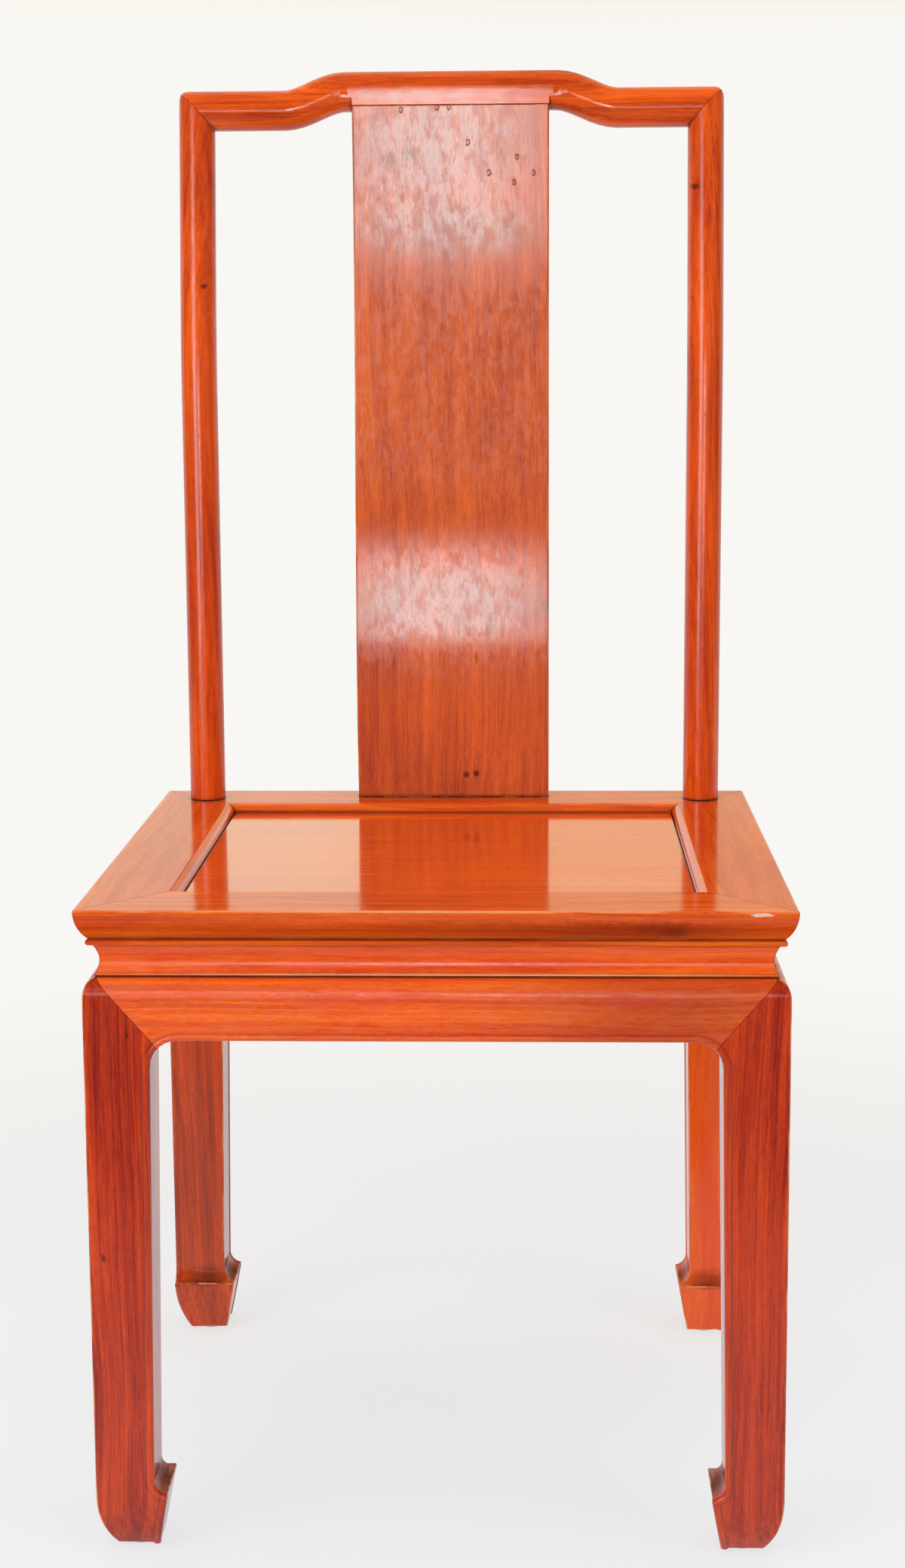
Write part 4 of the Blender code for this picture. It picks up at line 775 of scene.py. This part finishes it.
def seen_directly(nodes):
    """1 for rays that show the background: from the camera, off gloss or through glass."""
    path = nodes.add("ShaderNodeLightPath").outputs
    shown = nodes.math("MAXIMUM", path["Is Camera Ray"], path["Is Glossy Ray"])
    return nodes.math("MAXIMUM", shown, path["Is Transmission Ray"])


def dim_in_front(nodes, along, span):
    """Full strength to the camera and behind the chair, and little of it mirrored from the room in front."""
    path = nodes.add("ShaderNodeLightPath").outputs
    return nodes.math("MAXIMUM", nodes.span(along, *span, ROOM_DIM, 1.0), path["Is Camera Ray"])


def add_floor():
    """A pale floor that keeps the chair's shadow and melts into the white background."""
    bpy.ops.mesh.primitive_grid_add(x_subdivisions=FLOOR_CELLS, y_subdivisions=FLOOR_CELLS, size=FLOOR_SIZE)
    floor = bpy.context.object
    floor.name = "floor"
    material = bpy.data.materials.new("pale_floor")
    material.use_nodes = True
    material.node_tree.nodes.clear()
    nodes = Nodes(material.node_tree)
    place = nodes.add("ShaderNodeTexCoord").outputs["Object"]
    away = nodes.length(place)
    along = nodes.axes(place)["Y"]
    matt = nodes.add("ShaderNodeBsdfDiffuse", {"Color": FLOOR_WHITE}).outputs[0]
    faded = nodes.math("MAXIMUM", nodes.span(along, *FLOOR_FADE), nodes.span(away, *FLOOR_FAR))
    tint = nodes.mix(faded, FLOOR_NEAR_GLOW, BACKDROP_WHITE)
    strength = dim_in_front(nodes, along, ROOM_FLOOR)
    white = nodes.add("ShaderNodeEmission", {"Color": tint, "Strength": strength}).outputs[0]
    glow = nodes.span(away, *FLOOR_SHADOW_REACH, 1.0 - FLOOR_SHADOW_KEPT, 1.0)
    shown = nodes.math("MULTIPLY", seen_directly(nodes), glow)
    mixed = nodes.add("ShaderNodeMixShader", {0: shown, 1: matt, 2: white}).outputs[0]
    nodes.link(mixed, nodes.add("ShaderNodeOutputMaterial").inputs["Surface"])
    floor.data.materials.append(material)


def add_world():
    """A near-white wall, warm higher up where the seat mirrors it, a dim room in front, and an even light."""
    world = bpy.data.worlds.new("studio")
    bpy.context.scene.world = world
    world.use_nodes = True
    world.node_tree.nodes.clear()
    nodes = Nodes(world.node_tree)
    light = nodes.add("ShaderNodeBackground", {"Color": WHITE, "Strength": WORLD_LIGHT}).outputs[0]
    toward = nodes.axes(nodes.add("ShaderNodeTexCoord").outputs["Generated"])
    to_right = nodes.span(toward["X"], *BACKDROP_WARM_TURN)
    warm = nodes.mix(to_right, BACKDROP_WARM_LEFT, BACKDROP_WARM_RIGHT)
    tint = nodes.mix(nodes.span(toward["Z"], *BACKDROP_WARM_RISE), BACKDROP_WHITE, warm)
    strength = dim_in_front(nodes, toward["Y"], ROOM_TURN)
    white = nodes.add("ShaderNodeBackground", {"Color": tint, "Strength": strength}).outputs[0]
    mixed = nodes.add("ShaderNodeMixShader", {0: seen_directly(nodes), 1: light, 2: white}).outputs[0]
    nodes.link(mixed, nodes.add("ShaderNodeOutputWorld").inputs["Surface"])


def add_softbox(name, place, target, size, power, mirrored=False, lit_parts=None):
    """A soft rectangular lamp, for all parts or for some. Only a mirrored one shows in the lacquer."""
    data = bpy.data.lights.new(name, "AREA")
    data.shape = "RECTANGLE"
    data.size, data.size_y = size
    data.energy = power
    light = bpy.data.objects.new(name, data)
    bpy.context.scene.collection.objects.link(light)
    aim = (Vector(target) - Vector(place)).to_track_quat("-Z", "Y").to_matrix().to_4x4()
    light.matrix_world = Matrix.Translation(place) @ aim
    light.visible_glossy = mirrored
    light.light_linking.receiver_collection = lit_parts


def add_windows(mirrored, lit_parts):
    """The window at the side and the row across the room, as lamps."""
    add_softbox(
        "side_window", SIDE_WINDOW_PLACE, SIDE_WINDOW_TARGET, SIDE_WINDOW_SIZE, SIDE_WINDOW_POWER,
        mirrored, lit_parts,
    )
    for name, (low, high), glare in WINDOWS:
        middle = (low + high) / 2
        place = (middle, -WINDOW_DISTANCE, WINDOW_MIDDLE)
        target = (middle, 0.0, WINDOW_MIDDLE)
        size = (high - low, WINDOW_HEIGHT)
        power = glare * math.pi * (high - low) * WINDOW_HEIGHT
        add_softbox(name, place, target, size, power, mirrored, lit_parts)


def add_lights(frame):
    """Softboxes, and windows that show in the upright parts but only light the flat seat."""
    for name, place, size, power in SOFTBOXES:
        add_softbox(name, place, SOFTBOX_TARGET, size, power)
    upright_parts = bpy.data.collections.new("upright_parts")
    seat_parts = bpy.data.collections.new("seat_parts")
    for node, obj in frame["nodes"].items():
        group = seat_parts if node.startswith("seat_") else upright_parts
        group.objects.link(obj)
    add_windows(True, upright_parts)
    add_windows(False, seat_parts)


def build():
    clear_scene()
    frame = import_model()
    add_camera()
    add_floor()
    add_world()
    add_lights(frame)
    bpy.context.scene.view_settings.view_transform = "Standard"

    group = rosewood_group()
    edges = EdgeWork()
    for node, finish in finishes().items():
        obj = frame["nodes"][node]
        edges.dress(obj, EDGE_RADIUS[finish.edge])
        obj.material_slots[0].material = rosewood(node, finish, group, worn_and_painted_glint=False)
        obj.data.materials.append(rosewood(node, finish, group, worn_and_painted_glint=True))
    plastic = glide_plastic()
    for node, obj in frame["nodes"].items():
        if node.startswith("foot_glide"):
            edges.dress(obj, EDGE_RADIUS["hidden"])
            obj.material_slots[0].material = plastic


build()
